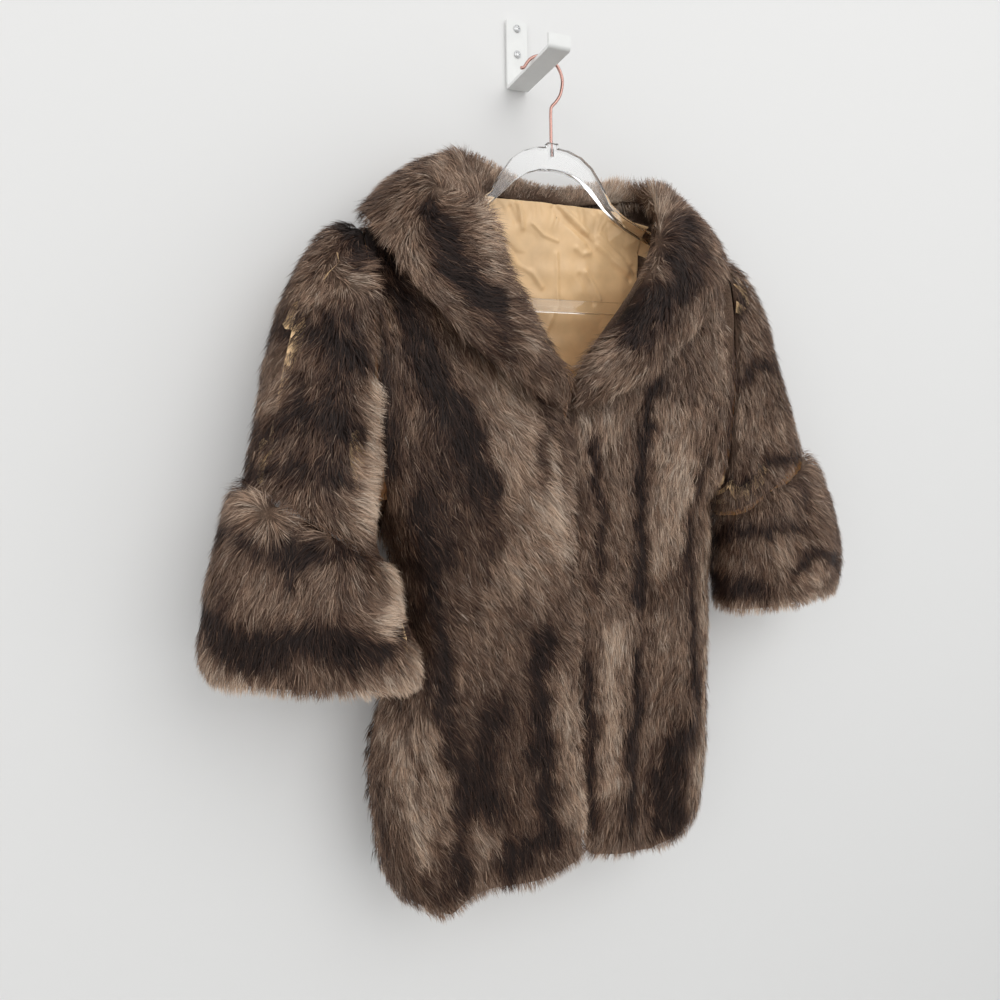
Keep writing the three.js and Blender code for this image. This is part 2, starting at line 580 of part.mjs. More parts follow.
add('screw_upper', screwBody(SCREWS.upper), 0xb9bbbd, 0.3, 1);
add('screw_lower', screwBody(SCREWS.lower), 0xb9bbbd, 0.3, 1);

export default group;
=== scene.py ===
"""Mink-look fur jacket with a shawl collar, on a clear hanger and a bent wall bracket.

Each fur piece is a pelt, which is the thin backing with its underfur, and a pile, which is the
joined blades of hair that stand on it. Sizes are in metres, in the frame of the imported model.
"""

import math

import bmesh
import bpy
import numpy as np
from mathutils import Matrix, Vector
from mathutils.bvhtree import BVHTree
from mathutils.kdtree import KDTree


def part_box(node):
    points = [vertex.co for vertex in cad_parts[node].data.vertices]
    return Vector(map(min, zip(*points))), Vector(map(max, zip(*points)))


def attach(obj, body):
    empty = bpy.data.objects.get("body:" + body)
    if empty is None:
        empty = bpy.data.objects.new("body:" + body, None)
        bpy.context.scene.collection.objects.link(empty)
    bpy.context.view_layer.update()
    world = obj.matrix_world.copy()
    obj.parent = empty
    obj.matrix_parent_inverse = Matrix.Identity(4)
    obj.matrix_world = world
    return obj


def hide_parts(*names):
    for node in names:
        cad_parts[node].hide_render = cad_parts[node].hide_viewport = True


bl_info = {
    "name": "Fur jacket on a wall bracket",
    "version": (1, 0, 0),
    "blender": (4, 5, 0),
    "location": "3D View > Sidebar > Fur jacket",
    "description": "Makes the pelts, the pile, the lining, the hanger and the bracket",
    "category": "Object",
}

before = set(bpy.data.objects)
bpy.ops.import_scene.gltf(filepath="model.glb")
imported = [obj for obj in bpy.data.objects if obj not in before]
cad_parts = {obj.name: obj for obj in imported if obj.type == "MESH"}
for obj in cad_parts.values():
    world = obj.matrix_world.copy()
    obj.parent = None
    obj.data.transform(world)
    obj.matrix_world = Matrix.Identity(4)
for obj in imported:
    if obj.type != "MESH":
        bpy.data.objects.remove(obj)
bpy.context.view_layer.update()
MM = 0.001
FUR_NODES = (
    "back",
    "front_left",
    "front_right",
    "sleeve_left",
    "sleeve_right",
    "cuff_left",
    "cuff_right",
    "collar",
)

# Marks in the fur. Each is (what it is, change of tone, half width in mm, the line it follows),
# and each point is a share of the node's box: across from its left, then down from its top.
# Some marks are painted shade or painted light, and their names say so.
MARKS = {
    "back": (
        ("strip 1", -0.4, 10, ((0.1, 0.2), (0.12, 0.5), (0.1, 1.0))),
        ("strip 2", -0.45, 10, ((0.22, 0.12), (0.23, 0.45), (0.21, 0.8), (0.23, 1.0))),
        ("strip 3", -0.35, 12, ((0.34, 0.05), (0.33, 0.4), (0.35, 0.7), (0.34, 1.0))),
        ("strip 4", -0.47, 10, ((0.46, 0.0), (0.47, 0.35), (0.45, 0.75), (0.46, 1.0))),
        ("strip 5", -0.42, 11, ((0.57, 0.0), (0.56, 0.4), (0.58, 0.7), (0.57, 1.0))),
        ("strip 6", -0.4, 10, ((0.69, 0.05), (0.7, 0.4), (0.68, 0.8), (0.69, 1.0))),
        ("strip 7", -0.47, 11, ((0.8, 0.12), (0.79, 0.5), (0.81, 0.8), (0.8, 1.0))),
        ("strip 8", -0.35, 10, ((0.92, 0.2), (0.91, 0.6), (0.93, 1.0))),
        ("pale run, left", 0.16, 14, ((0.17, 0.2), (0.16, 0.6), (0.16, 1.0))),
        ("pale run, middle", 0.16, 16, ((0.52, 0.2), (0.52, 0.6), (0.52, 1.0))),
        ("pale run, right", 0.16, 14, ((0.86, 0.2), (0.86, 0.6), (0.87, 1.0))),
    ),
    "front_left": (
        # Painted shadow: the front is darkened along the collar's lower edge, where the collar shades it.
        (
            "painted shadow under the collar edge",
            -0.59,
            11,
            ((0.08, 0.07), (0.17, 0.15), (0.26, 0.22), (0.37, 0.3), (0.47, 0.33), (0.54, 0.39)),
        ),
        # Partly darker fur, partly painted shade where the sleeve shades the front.
        ("brown fur and painted shade under the sleeve", -0.17, 28, ((0.19, 0.27), (0.32, 0.33), (0.38, 0.38), (0.36, 0.46))),
        ("dark fur and painted shade by the sleeve", -0.33, 12, ((0.14, 0.34), (0.17, 0.36))),
        ("pale lock by the sleeve", 0.2, 7, ((0.21, 0.3), (0.19, 0.32))),
        (
            "broad pale strip",
            0.24,
            28,
            ((0.59, 0.27), (0.68, 0.3), (0.66, 0.38), (0.75, 0.44), (0.71, 0.51)),
        ),
        ("grey line by the edge", -0.24, 8, ((0.77, 0.28), (0.78, 0.3), (0.76, 0.33), (0.77, 0.39))),
        ("pale front edge", 0.3, 9, ((0.85, 0.34), (0.83, 0.42), (0.87, 0.49))),
        ("dark strip, middle", -0.26, 10, ((0.39, 0.29), (0.51, 0.38), (0.53, 0.45), (0.54, 0.51))),
        (
            "dark strip, outer",
            -0.41,
            11,
            ((0.23, 0.4), (0.29, 0.52), (0.32, 0.63), (0.34, 0.75), (0.38, 0.87), (0.38, 0.96)),
        ),
        ("dark block", -0.47, 22, ((0.54, 0.71), (0.46, 0.77), (0.5, 0.84))),
        ("dark strip, inner", -0.59, 9, ((0.76, 0.61), (0.76, 0.78), (0.79, 0.86), (0.81, 0.91))),
        ("dark hem", -0.41, 14, ((0.59, 0.93), (0.73, 0.91))),
        ("pale front edge, low", 0.25, 13, ((0.84, 0.69), (0.88, 0.8), (0.95, 0.89))),
        ("broad pale strip, low", 0.3, 20, ((0.24, 0.73), (0.23, 0.8), (0.25, 0.87))),
        ("pale ridge", 0.3, 7, ((0.14, 0.72), (0.17, 0.8), (0.22, 0.91))),
        ("shade beside the ridge", -0.26, 4, ((0.16, 0.7), (0.2, 0.79), (0.23, 0.89))),
        ("pale lock, low", 0.22, 12, ((0.47, 0.87), (0.51, 0.9))),
        ("brown by the hem", -0.18, 9, ((0.26, 0.96), (0.23, 0.93))),
        # Painted shade: the corner under the collar is darkened.
        ("painted shade in the corner under the collar", -0.62, 11, ((0.09, 0.05), (0.1, 0.1))),
        ("pale locks under the sleeve", 0.2, 7, ((0.16, 0.34), (0.18, 0.37))),
    ),
    "front_right": (
        ("pale strip by the edge", 0.24, 8, ((0.07, 0.32), (0.06, 0.39))),
        ("dark strip by the edge", -0.38, 7, ((0.14, 0.35), (0.15, 0.4), (0.19, 0.45), (0.17, 0.54))),
        ("pale strip under the collar", 0.3, 10, ((0.25, 0.31), (0.21, 0.35))),
        ("black strip", -0.59, 9, ((0.52, 0.26), (0.46, 0.29), (0.43, 0.35), (0.41, 0.45), (0.42, 0.58))),
        ("broad pale strip", 0.3, 20, ((0.62, 0.31), (0.63, 0.41), (0.56, 0.48), (0.53, 0.52))),
        (
            "dark strip, outer",
            -0.45,
            9,
            ((0.8, 0.37), (0.75, 0.42), (0.7, 0.45), (0.71, 0.51), (0.77, 0.68), (0.81, 0.76)),
        ),
        ("pale side", 0.36, 7, ((0.87, 0.47), (0.88, 0.66), (0.88, 0.75), (0.85, 0.86), (0.83, 0.91))),
        ("near-black block", -0.62, 19, ((0.7, 0.82), (0.63, 0.86), (0.62, 0.92), (0.63, 0.96))),
        ("dark strip, low", -0.54, 8, ((0.4, 0.66), (0.42, 0.75), (0.35, 0.8), (0.37, 0.85), (0.33, 0.94))),
        ("dark strip by the edge, low", -0.42, 6, ((0.13, 0.67), (0.12, 0.79), (0.15, 0.92))),
        ("pale strip, low", 0.32, 10, ((0.23, 0.63), (0.23, 0.79), (0.24, 0.86))),
        ("pale lock by the sleeve", 0.25, 13, ((0.71, 0.39), (0.71, 0.44))),
        ("pale strip, low outer", 0.19, 10, ((0.54, 0.62), (0.55, 0.73))),
    ),
    "sleeve_left": (
        # Painted highlight: the soft roll under the cap is made paler.
        ("painted highlight on the roll under the cap", 0.2, 8, ((0.3, 0.26), (0.59, 0.26), (0.93, 0.22))),
        ("pale front of the cap", 0.25, 10, ((0.83, 0.17), (0.97, 0.21))),
        (
            "first cross band",
            -0.35,
            10,
            ((0.24, 0.37), (0.46, 0.34), (0.63, 0.35), (0.78, 0.4), (0.93, 0.44)),
        ),
        ("pale outer side", 0.15, 18, ((0.27, 0.45), (0.19, 0.54), (0.08, 0.66))),
        ("brown middle", -0.26, 24, ((0.75, 0.34), (0.63, 0.5), (0.7, 0.56))),
        ("second cross band", -0.41, 12, ((0.09, 0.63), (0.37, 0.6), (0.51, 0.6), (0.82, 0.63))),
        # Painted highlight: the front fold, which faces the light, is made paler here and below.
        ("painted highlight on the front fold", 0.5, 12, ((0.97, 0.53), (0.98, 0.62), (0.95, 0.72), (0.92, 0.83))),
        ("painted highlight on the front fold, low", 0.36, 14, ((0.83, 0.79), (0.86, 0.87))),
        ("third cross band", -0.33, 12, ((0.0, 0.73), (0.26, 0.74), (0.47, 0.72), (0.64, 0.76))),
        # Painted shadow: the top of the cap's inner side is darkened where the gap to the body is in shade.
        ("painted shadow on the inner side of the cap", -0.62, 12, ((0.91, 0.01), (0.94, 0.12))),
        # Painted highlight on the start of the front fold.
        ("painted highlight on the front fold, start", 0.22, 12, ((0.96, 0.42), (0.97, 0.51))),
    ),
    "sleeve_right": (
        ("dark spot on the cap", -0.45, 10, ((0.1, 0.15), (0.0, 0.23))),
        ("first cross band", -0.42, 8, ((0.03, 0.51), (0.2, 0.47), (0.42, 0.43))),
        ("second cross band", -0.42, 8, ((0.04, 0.89), (0.16, 0.87), (0.41, 0.81), (0.72, 0.78))),
        ("pale run", 0.08, 14, ((0.1, 0.71), (0.48, 0.68))),
    ),
    "cuff_left": (
        ("pale crown of the outer lobe", 0.12, 12, ((0.25, 0.1), (0.29, 0.2))),
        (
            "upper band",
            -0.38,
            9,
            ((0.14, 0.25), (0.22, 0.27), (0.41, 0.32), (0.48, 0.34), (0.65, 0.32), (0.78, 0.38)),
        ),
        # Painted shade: the groove between the lobes is darkened.
        ("painted shade in the dip between the lobes", -0.59, 5, ((0.44, 0.27), (0.42, 0.42))),
        # Painted light: the cuff's inner side, which faces the light, is made paler.
        ("painted light on the inner side", 0.62, 14, ((0.89, 0.48), (0.87, 0.54), (0.81, 0.64))),
        ("pale shoulder by the sleeve", 0.28, 13, ((0.83, 0.27), (0.88, 0.34))),
        ("dark spot on the inner side", -0.41, 9, ((0.89, 0.75), (0.89, 0.76))),
        (
            "lower band",
            -0.62,
            12,
            ((0.03, 0.59), (0.11, 0.7), (0.23, 0.78), (0.4, 0.68), (0.51, 0.76), (0.76, 0.79)),
        ),
        ("pale hem", 0.25, 7, ((0.07, 0.9), (0.25, 0.93), (0.5, 1.0), (0.74, 0.97), (0.95, 0.97))),
    ),
    "cuff_right": (
        ("upper band", -0.42, 8, ((0.0, 0.24), (0.12, 0.2), (0.3, 0.08), (0.5, 0.03))),
        ("brown outer run", -0.26, 9, ((0.42, 0.19), (0.46, 0.37))),
        ("middle band", -0.42, 7, ((0.02, 0.61), (0.08, 0.51), (0.26, 0.51), (0.46, 0.5))),
        ("dark dip, outer", -0.5, 8, ((0.38, 0.73), (0.55, 0.68), (0.84, 0.75))),
        ("dark dip, inner", -0.45, 10, ((0.01, 0.94), (0.05, 0.84), (0.18, 0.88))),
        ("pale middle", 0.2, 10, ((0.24, 0.61), (0.33, 0.68))),
        ("pale lower side", 0.14, 8, ((0.45, 0.84), (0.63, 0.82))),
        ("pale hem", 0.25, 6, ((0.0, 1.0), (0.17, 1.02), (0.44, 0.97), (0.83, 0.95))),
    ),
    "collar": (
        ("pale left hump", 0.14, 22, ((0.2, 0.18), (0.15, 0.3))),
        ("pale left outside", 0.1, 18, ((0.06, 0.32), (0.07, 0.48))),
        (
            "slanting dark stripe, left",
            -0.61,
            10,
            ((0.14, 0.35), (0.16, 0.43), (0.16, 0.51), (0.21, 0.59), (0.27, 0.65)),
        ),
        (
            "pale inner edge, left",
            0.34,
            9,
            ((0.29, 0.23), (0.26, 0.32), (0.25, 0.39), (0.26, 0.53), (0.32, 0.7), (0.35, 0.79)),
        ),
        ("dark end, left", -0.18, 14, ((0.01, 0.24), (0.04, 0.3))),
        ("brown outer run, left", -0.12, 14, ((0.13, 0.64), (0.18, 0.73), (0.26, 0.83))),
        ("dark right hump", -0.4, 14, ((0.79, 0.3), (0.79, 0.4), (0.76, 0.47))),
        ("pale spot, right", 0.35, 7, ((0.69, 0.52), (0.73, 0.54))),
        ("smooth dark run, right", -0.53, 15, ((0.59, 0.74), (0.64, 0.66), (0.72, 0.6), (0.79, 0.54))),
        ("pale rim, right", 0.16, 9, ((0.57, 0.95), (0.67, 0.87), (0.72, 0.85), (0.84, 0.69))),
        ("pale inner run, right", 0.14, 9, ((0.5, 0.87), (0.58, 0.71), (0.61, 0.6))),
        ("pale outside, right", 0.12, 12, ((0.91, 0.36), (0.92, 0.5))),
        # Painted light: the band behind the neck is made paler, as if lit from above.
        ("painted light on the band behind the neck", 0.3, 13, ((0.36, 0.07), (0.5, 0.08), (0.68, 0.07))),
        ("brown stripe, left, low", -0.24, 9, ((0.28, 0.63), (0.31, 0.72))),
        ("dark outside, right", -0.24, 12, ((0.84, 0.3), (0.85, 0.42))),
        # Painted light: lifts the inner right hump, which faces away from the light.
        ("painted light on the inner hump, right", 0.5, 17, ((0.72, 0.13), (0.75, 0.24))),
    ),
}

# Tone of a node's fur where no mark is: 0 is black, 1 is beige.
GROUND = {
    "back": 0.44,
    "front_left": 0.42,
    "front_right": 0.47,
    "sleeve_left": 0.42,
    "sleeve_right": 0.46,
    "cuff_left": 0.46,
    "cuff_right": 0.46,
    "collar": 0.44,
}

# Lie of the pelt beyond the marks: (height and half width in mm, line in shares of the box).
RELIEF = {
    "back": (
        (4, 30, ((0.04, 0.76), (0.05, 0.95))),
    ),
    "front_left": (
        (4, 22, ((0.07, 0.77), (0.09, 0.87), (0.12, 0.96))),
    ),
    "sleeve_left": (
        (3, 24, ((0.59, 0.0), (0.95, 0.02))),
    ),
    "cuff_left": (
        (-3, 9, ((0.43, 0.25), (0.44, 0.35), (0.44, 0.6))),
        (5, 22, ((0.25, 0.2), (0.25, 0.5))),
        (5, 20, ((0.61, 0.3), (0.61, 0.55))),
    ),
    "cuff_right": (
        (-3, 8, ((0.46, 0.3), (0.45, 0.5), (0.5, 0.75))),
        (4, 16, ((0.25, 0.3), (0.25, 0.6))),
        (4, 14, ((0.7, 0.4), (0.7, 0.7))),
    ),
}

# The pieces that lie over each one. The fur's tone is darkened beside them, which is painted shade.
OVER = {
    "back": ("collar", "sleeve_left", "sleeve_right"),
    "front_left": ("collar", "sleeve_left"),
    "front_right": ("collar", "front_left", "sleeve_right"),
    "sleeve_left": ("collar",),
    "sleeve_right": ("collar",),
}

# The piece at each one's cuff seam, and how many degrees the hair is lifted there.
JOINED = {
    "sleeve_left": ("cuff_left", 26),
    "sleeve_right": ("cuff_right", 26),
    "cuff_left": ("sleeve_left", 22),
    "cuff_right": ("sleeve_right", 22),
}

# How the pile was combed: (across, down, angle), shares of the node's box and the way the hair
# lies there in degrees, from 0 straight down through 90 to the right, with 180 straight up.
COMBED = {
    "back": ((0.23, 0.5, -4), (0.52, 0.5, 0), (0.8, 0.5, 4), (0.13, 0.9, -6), (0.9, 0.9, 6)),
    "front_left": (
        (0.11, 0.22, 10), (0.28, 0.18, 30), (0.21, 0.3, -15), (0.23, 0.38, 20),
        (0.46, 0.25, 30), (0.61, 0.28, 40), (0.76, 0.32, 45), (0.58, 0.33, 20),
        (0.72, 0.36, 55), (0.53, 0.38, 25), (0.67, 0.4, 35), (0.37, 0.42, 25),
        (0.61, 0.48, 35), (0.81, 0.49, 35), (0.42, 0.57, 35), (0.65, 0.58, 30),
        (0.38, 0.69, 30), (0.66, 0.79, 15), (0.84, 0.74, 5), (0.5, 0.85, 15),
        (0.23, 0.71, 30), (0.15, 0.7, 0), (0.25, 0.84, 35), (0.08, 0.74, 0),
        (0.17, 0.91, 40), (0.09, 0.89, 15), (0.64, 0.92, 15),
    ),
    "front_right": (
        (0.05, 0.31, 0), (0.24, 0.3, -10), (0.64, 0.26, -15), (0.77, 0.25, 5),
        (0.69, 0.38, -25), (0.57, 0.42, -10), (0.83, 0.43, 10), (0.07, 0.46, 25),
        (0.23, 0.52, 20), (0.37, 0.45, 15), (0.55, 0.49, 10), (0.07, 0.63, 10),
        (0.24, 0.64, -5), (0.48, 0.67, -5), (0.62, 0.69, -15), (0.23, 0.79, 5),
        (0.56, 0.82, -15), (0.89, 0.81, -5), (0.75, 0.92, -35), (0.19, 0.91, -25),
        (0.55, 0.96, 15),
    ),
    "sleeve_left": (
        (0.51, 0.13, -30), (0.72, 0.08, -20), (0.83, 0.16, 100), (0.44, 0.23, -30),
        (0.66, 0.26, -15), (0.45, 0.37, -30), (0.29, 0.48, -30), (0.2, 0.61, -30),
        (0.09, 0.72, -30), (0.58, 0.48, -10), (0.58, 0.64, -15), (0.9, 0.37, 25),
        (0.96, 0.53, 65), (0.94, 0.64, 75), (0.89, 0.76, 80),
    ),
    "sleeve_right": (
        (0.2, 0.2, 5), (0.0, 0.34, 0), (0.4, 0.38, 25), (0.02, 0.61, 5),
        (0.38, 0.61, 10), (0.64, 0.66, 35),
    ),
    "cuff_left": (
        (0.08, 0.1, -35), (0.17, 0.06, -50), (0.32, 0.08, 180), (0.25, 0.13, -80),
        (0.38, 0.15, 80), (0.3, 0.2, -10), (0.2, 0.24, -45), (0.4, 0.24, 45),
        (0.25, 0.36, -25), (0.35, 0.36, 5), (0.57, 0.19, 180), (0.51, 0.23, -80),
        (0.64, 0.25, 80), (0.57, 0.33, 0), (0.5, 0.36, -40), (0.66, 0.38, 40),
        (0.44, 0.3, 5), (0.43, 0.42, -10), (0.74, 0.28, 60), (0.11, 0.6, -25),
        (0.3, 0.47, -5), (0.38, 0.47, -10), (0.32, 0.64, -25), (0.43, 0.59, -40),
        (0.55, 0.48, -5), (0.61, 0.56, 55), (0.81, 0.52, 60), (0.8, 0.64, 80),
        (0.19, 0.8, -5), (0.47, 0.82, 5), (0.69, 0.84, 35), (0.06, 0.77, -15),
    ),
    "cuff_right": (
        (0.1, 0.3, -5), (0.3, 0.3, 0), (0.37, 0.22, 20), (0.57, 0.26, 40),
        (0.14, 0.59, -5), (0.28, 0.63, 40), (0.04, 0.68, -10), (0.66, 0.6, 40),
        (0.47, 0.82, 40), (0.11, 0.9, -10), (0.01, 0.94, -20),
    ),
    "collar": (
        (0.22, 0.24, -150), (0.07, 0.18, -35), (0.03, 0.24, -50), (0.09, 0.32, -10),
        (0.05, 0.45, 15), (0.1, 0.56, 30), (0.18, 0.68, 75), (0.14, 0.45, 55),
        (0.19, 0.35, 85), (0.22, 0.49, 65), (0.26, 0.64, 80), (0.28, 0.77, 65),
        (0.17, 0.73, 30), (0.28, 0.84, 40), (0.36, 0.91, 50), (0.46, 0.15, 160),
        (0.61, 0.16, 165), (0.75, 0.12, 170), (0.76, 0.17, 130), (0.85, 0.24, 50),
        (0.86, 0.44, 25), (0.67, 0.52, 75), (0.68, 0.56, -40), (0.49, 0.87, -45),
        (0.56, 0.92, -50), (0.62, 0.87, -45), (0.64, 0.66, -35), (0.83, 0.55, -25),
        (0.73, 0.81, 15),
    ),
}

# Creases of the lining, from the middle of its top edge: (height and half width in mm, then the
# points of the line, right and down in mm). A positive height stands forward.
LINING_CREASES = (
    (2.2, 2.3, (-23, -4), (-20, -14), (-18, -25)),
    (-1.6, 2.7, (-30, -8), (-25, -20)),
    (-2.7, 2.8, (16, -3), (27, -13), (43, -25), (60, -34)),
    (2.3, 2.9, (22, -2), (36, -12), (52, -24)),
    (1.9, 2.7, (48, -22), (62, -34), (78, -44), (100, -60)),
    (-2.5, 3.2, (56, -36), (76, -48), (104, -66)),
    (1.7, 2.7, (66, -26), (84, -38), (104, -50)),
    (-2.2, 2.7, (80, -30), (96, -44), (112, -60)),
    (2.2, 2.3, (52, -62), (60, -72), (70, -88)),
    (-1.6, 2.9, (46, -66), (54, -78), (62, -92)),
    (1.6, 2.9, (-33, -48), (-24, -58), (-6, -66), (4, -78)),
    (-1.6, 3.2, (-36, -40), (-24, -50), (-10, -53)),
    (1.4, 2.3, (19, -46), (20, -66), (22, -96)),
    (1.4, 2.7, (40, -40), (48, -45), (56, -43)),
    (-1.4, 2.7, (-8, -92), (4, -112), (0, -140)),
    (1.4, 2.7, (20, -100), (10, -124), (6, -150)),
    (1.5, 1.6, (-8, -20), (4, -30), (20, -34)),
    (1.6, 7.0, (30, -10), (52, -40), (48, -80)),
)


def linear(hex_text):
    """A colour written as sRGB hex, as the linear values that a shader takes."""
    values = [int(hex_text[i : i + 2], 16) / 255 for i in (1, 3, 5)]
    return tuple(v / 12.92 if v <= 0.04045 else ((v + 0.055) / 1.055) ** 2.4 for v in values)


def colour_property(name, hex_text, description):
    return bpy.props.FloatVectorProperty(
        name=name,
        description=description,
        subtype="COLOR",
        size=3,
        min=0.0,
        max=1.0,
        default=linear(hex_text),
    )


class JacketFurSettings(bpy.types.PropertyGroup):
    """Sizes and colours of the fur."""

    length: bpy.props.FloatProperty(
        name="Hair length",
        description="Length of the guard hair on the body",
        default=0.0178,
        min=0.008,
        max=0.05,
        unit="LENGTH",
        subtype="DISTANCE",
    )
    width: bpy.props.FloatProperty(
        name="Blade width",
        description="Width of one blade, which stands for a few hairs together",
        default=0.00043,
        min=0.0003,
        max=0.004,
        unit="LENGTH",
        subtype="DISTANCE",
    )
    depth: bpy.props.FloatProperty(
        name="Pile depth",
        description="How far the backing lies under the reach of the pile",
        default=0.005,
        min=0.0,
        max=0.007,
        unit="LENGTH",
        subtype="DISTANCE",
    )
    rise: bpy.props.FloatProperty(
        name="Rise",
        description="Angle at which the hair leaves the pelt",
        default=math.radians(30),
        min=0.0,
        max=math.radians(80),
        unit="ROTATION",
        subtype="ANGLE",
    )
    number: bpy.props.IntProperty(
        name="Blades in all",
        description="Number of blades, shared among the pieces by area and nearness to the front",
        default=410000,
        min=20000,
        max=430000,
    )
    black: colour_property("Black", "#1E1310", "The darkest strips")
    chocolate: colour_property("Chocolate", "#4A3226", "The dark brown ground")
    taupe: colour_property("Taupe", "#856B59", "The middle of the range")
    sand: colour_property("Sand", "#C2A892", "The pale strips")
    beige: colour_property("Beige", "#EED8C2", "Tips at the hem and on the folds")


class JacketTrimSettings(bpy.types.PropertyGroup):
    """Colours of the lining, the hanger and the bracket."""

    satin: colour_property("Satin", "#F2CB98", "The golden tan lining")
    crease: bpy.props.FloatProperty(
        name="Crease height",
        description="Multiplies the height of the creases in the lining",
        default=1.0,
        min=0.0,
        max=1.3,
    )
    wire: colour_property("Hook wire", "#BD948A", "Rose-gold plated wire")
    paint: colour_property("Bracket paint", "#E4E5E3", "White powder coat")
    steel: colour_property("Screw steel", "#E2E3E3", "Zinc-plated steel")


class JacketRoomSettings(bpy.types.PropertyGroup):
    """The wall and the light."""

    wall: colour_property("Wall", "#E3E3E2", "Off-white emulsion paint")
    window: bpy.props.FloatProperty(
        name="Window light",
        description="Power of the soft light from the front right",
        default=17.0,
        min=0.0,
        max=300.0,
        unit="POWER",
    )
    fill: bpy.props.FloatProperty(
        name="Room light",
        description="Strength of the light from all round",
        default=0.88,
        min=0.0,
        max=3.0,
    )


def add_node(tree, kind, sockets=None, stops=None, **settings):
    """Adds a node: its settings, the stops of its ramp, then values or links for its sockets."""
    node = tree.nodes.new(kind)
    for name, value in settings.items():
        setattr(node, name, value)
    if stops:
        elements = node.color_ramp.elements
        while len(elements) < len(stops):
            elements.new(1.0)
        for element, (place, colour) in zip(elements, stops):
            element.position = place
            element.color = tuple(colour)[:3] + (1.0,)
    for name, value in (sockets or {}).items():
        if isinstance(value, bpy.types.NodeSocket):
            tree.links.new(value, node.inputs[name])
        else:
            node.inputs[name].default_value = value
    return node


def new_material(name):
    """An empty material with its output, and the node tree to fill."""
    material = bpy.data.materials.new(name)
    material.use_nodes = True
    tree = material.node_tree
    tree.nodes.clear()
    output = add_node(tree, "ShaderNodeOutputMaterial")
    return material, tree, output


def fur_stops(fur, share=1.0):
    """The stops of the ramp from black to beige, darkened by share."""
    colours = (fur.black, fur.chocolate, fur.taupe, fur.sand, fur.beige)
    places = (0.0, 0.25, 0.5, 0.75, 1.0)
    return [(place, [c * share for c in colour]) for place, colour in zip(places, colours)]


def pile_hair(name, fur):
    """Acrylic guard hair, drawn fine and left glossy: a soft sheen along each lock, no sparkle.

    The colour is read from the blade's own map: across it lie three casts of the tone, grey,
    plain and red, and up it the hair goes from its shaded root to its tip.
    """
    material, tree, output = new_material(name)
    place = add_node(tree, "ShaderNodeUVMap", uv_map="strand")
    parts = add_node(tree, "ShaderNodeSeparateXYZ", {"Vector": place.outputs["UV"]})
    thrice = add_node(tree, "ShaderNodeMath", {0: parts.outputs["X"], 1: 3.0}, operation="MULTIPLY")
    tone = add_node(tree, "ShaderNodeMath", {0: thrice.outputs[0]}, operation="FRACT")
    ramp = add_node(tree, "ShaderNodeValToRGB", {"Fac": tone.outputs[0]}, stops=fur_stops(fur))
    cast = add_node(
        tree,
        "ShaderNodeValToRGB",
        {"Fac": parts.outputs["X"]},
        stops=[(0.0, (0.93, 0.97, 1.0)), (0.3333, (1.0, 0.98, 0.96)), (0.6667, (1.0, 0.93, 0.87))],
    )
    cast.color_ramp.interpolation = "CONSTANT"
    root_to_tip = add_node(
        tree,
        "ShaderNodeValToRGB",
        {"Fac": parts.outputs["Y"]},
        stops=[(0.0, (0.3, 0.28, 0.27)), (0.4, (0.72, 0.7, 0.69)), (1.0, (1.0, 1.0, 1.0))],
    )
    tinted = add_node(
        tree,
        "ShaderNodeMix",
        {0: 1.0, 6: ramp.outputs["Color"], 7: cast.outputs["Color"]},
        data_type="RGBA",
        blend_type="MULTIPLY",
    )
    shaded = add_node(
        tree,
        "ShaderNodeMix",
        {0: 1.0, 6: tinted.outputs[2], 7: root_to_tip.outputs["Color"]},
        data_type="RGBA",
        blend_type="MULTIPLY",
    )
    surface = add_node(
        tree,
        "ShaderNodeBsdfPrincipled",
        {"Base Color": shaded.outputs[2], "Roughness": 0.5, "IOR": 1.5, "Specular IOR Level": 0.28},
    )
    tree.links.new(surface.outputs["BSDF"], output.inputs["Surface"])
    return material


def pelt_underfur(name, fur):
    """Dense crimped underfur on a knitted back: matt, dark, and uneven at about a millimetre.

    Real underfur is a tenth of that; it is drawn coarser so that it shows between the blades.
    """
    material, tree, output = new_material(name)
    tone = add_node(tree, "ShaderNodeAttribute", attribute_name="tone")
    place = add_node(tree, "ShaderNodeTexCoord")
    wool = add_node(
        tree,
        "ShaderNodeTexNoise",
        {"Vector": place.outputs["Object"], "Scale": 1 / (1.6 * MM), "Detail": 3.0},
    )
    ramp = add_node(tree, "ShaderNodeValToRGB", {"Fac": tone.outputs["Fac"]}, stops=fur_stops(fur, 0.6))
    speck = add_node(
        tree,
        "ShaderNodeValToRGB",
        {"Fac": wool.outputs["Fac"]},
        stops=[(0.3, (0.45, 0.44, 0.43)), (0.7, (1.0, 1.0, 1.0))],
    )
    mixed = add_node(
        tree,
        "ShaderNodeMix",
        {0: 1.0, 6: ramp.outputs["Color"], 7: speck.outputs["Color"]},
        data_type="RGBA",
        blend_type="MULTIPLY",
    )
    bump = add_node(
        tree, "ShaderNodeBump", {"Height": wool.outputs["Fac"], "Strength": 0.8, "Distance": 1.2 * MM}
    )
    surface = add_node(
        tree,
        "ShaderNodeBsdfPrincipled",
        {
            "Base Color": mixed.outputs[2],
            "Roughness": 0.85,
            "Specular IOR Level": 0.2,
            "Normal": bump.outputs["Normal"],
        },
    )
    tree.links.new(surface.outputs["BSDF"], output.inputs["Surface"])
    return material


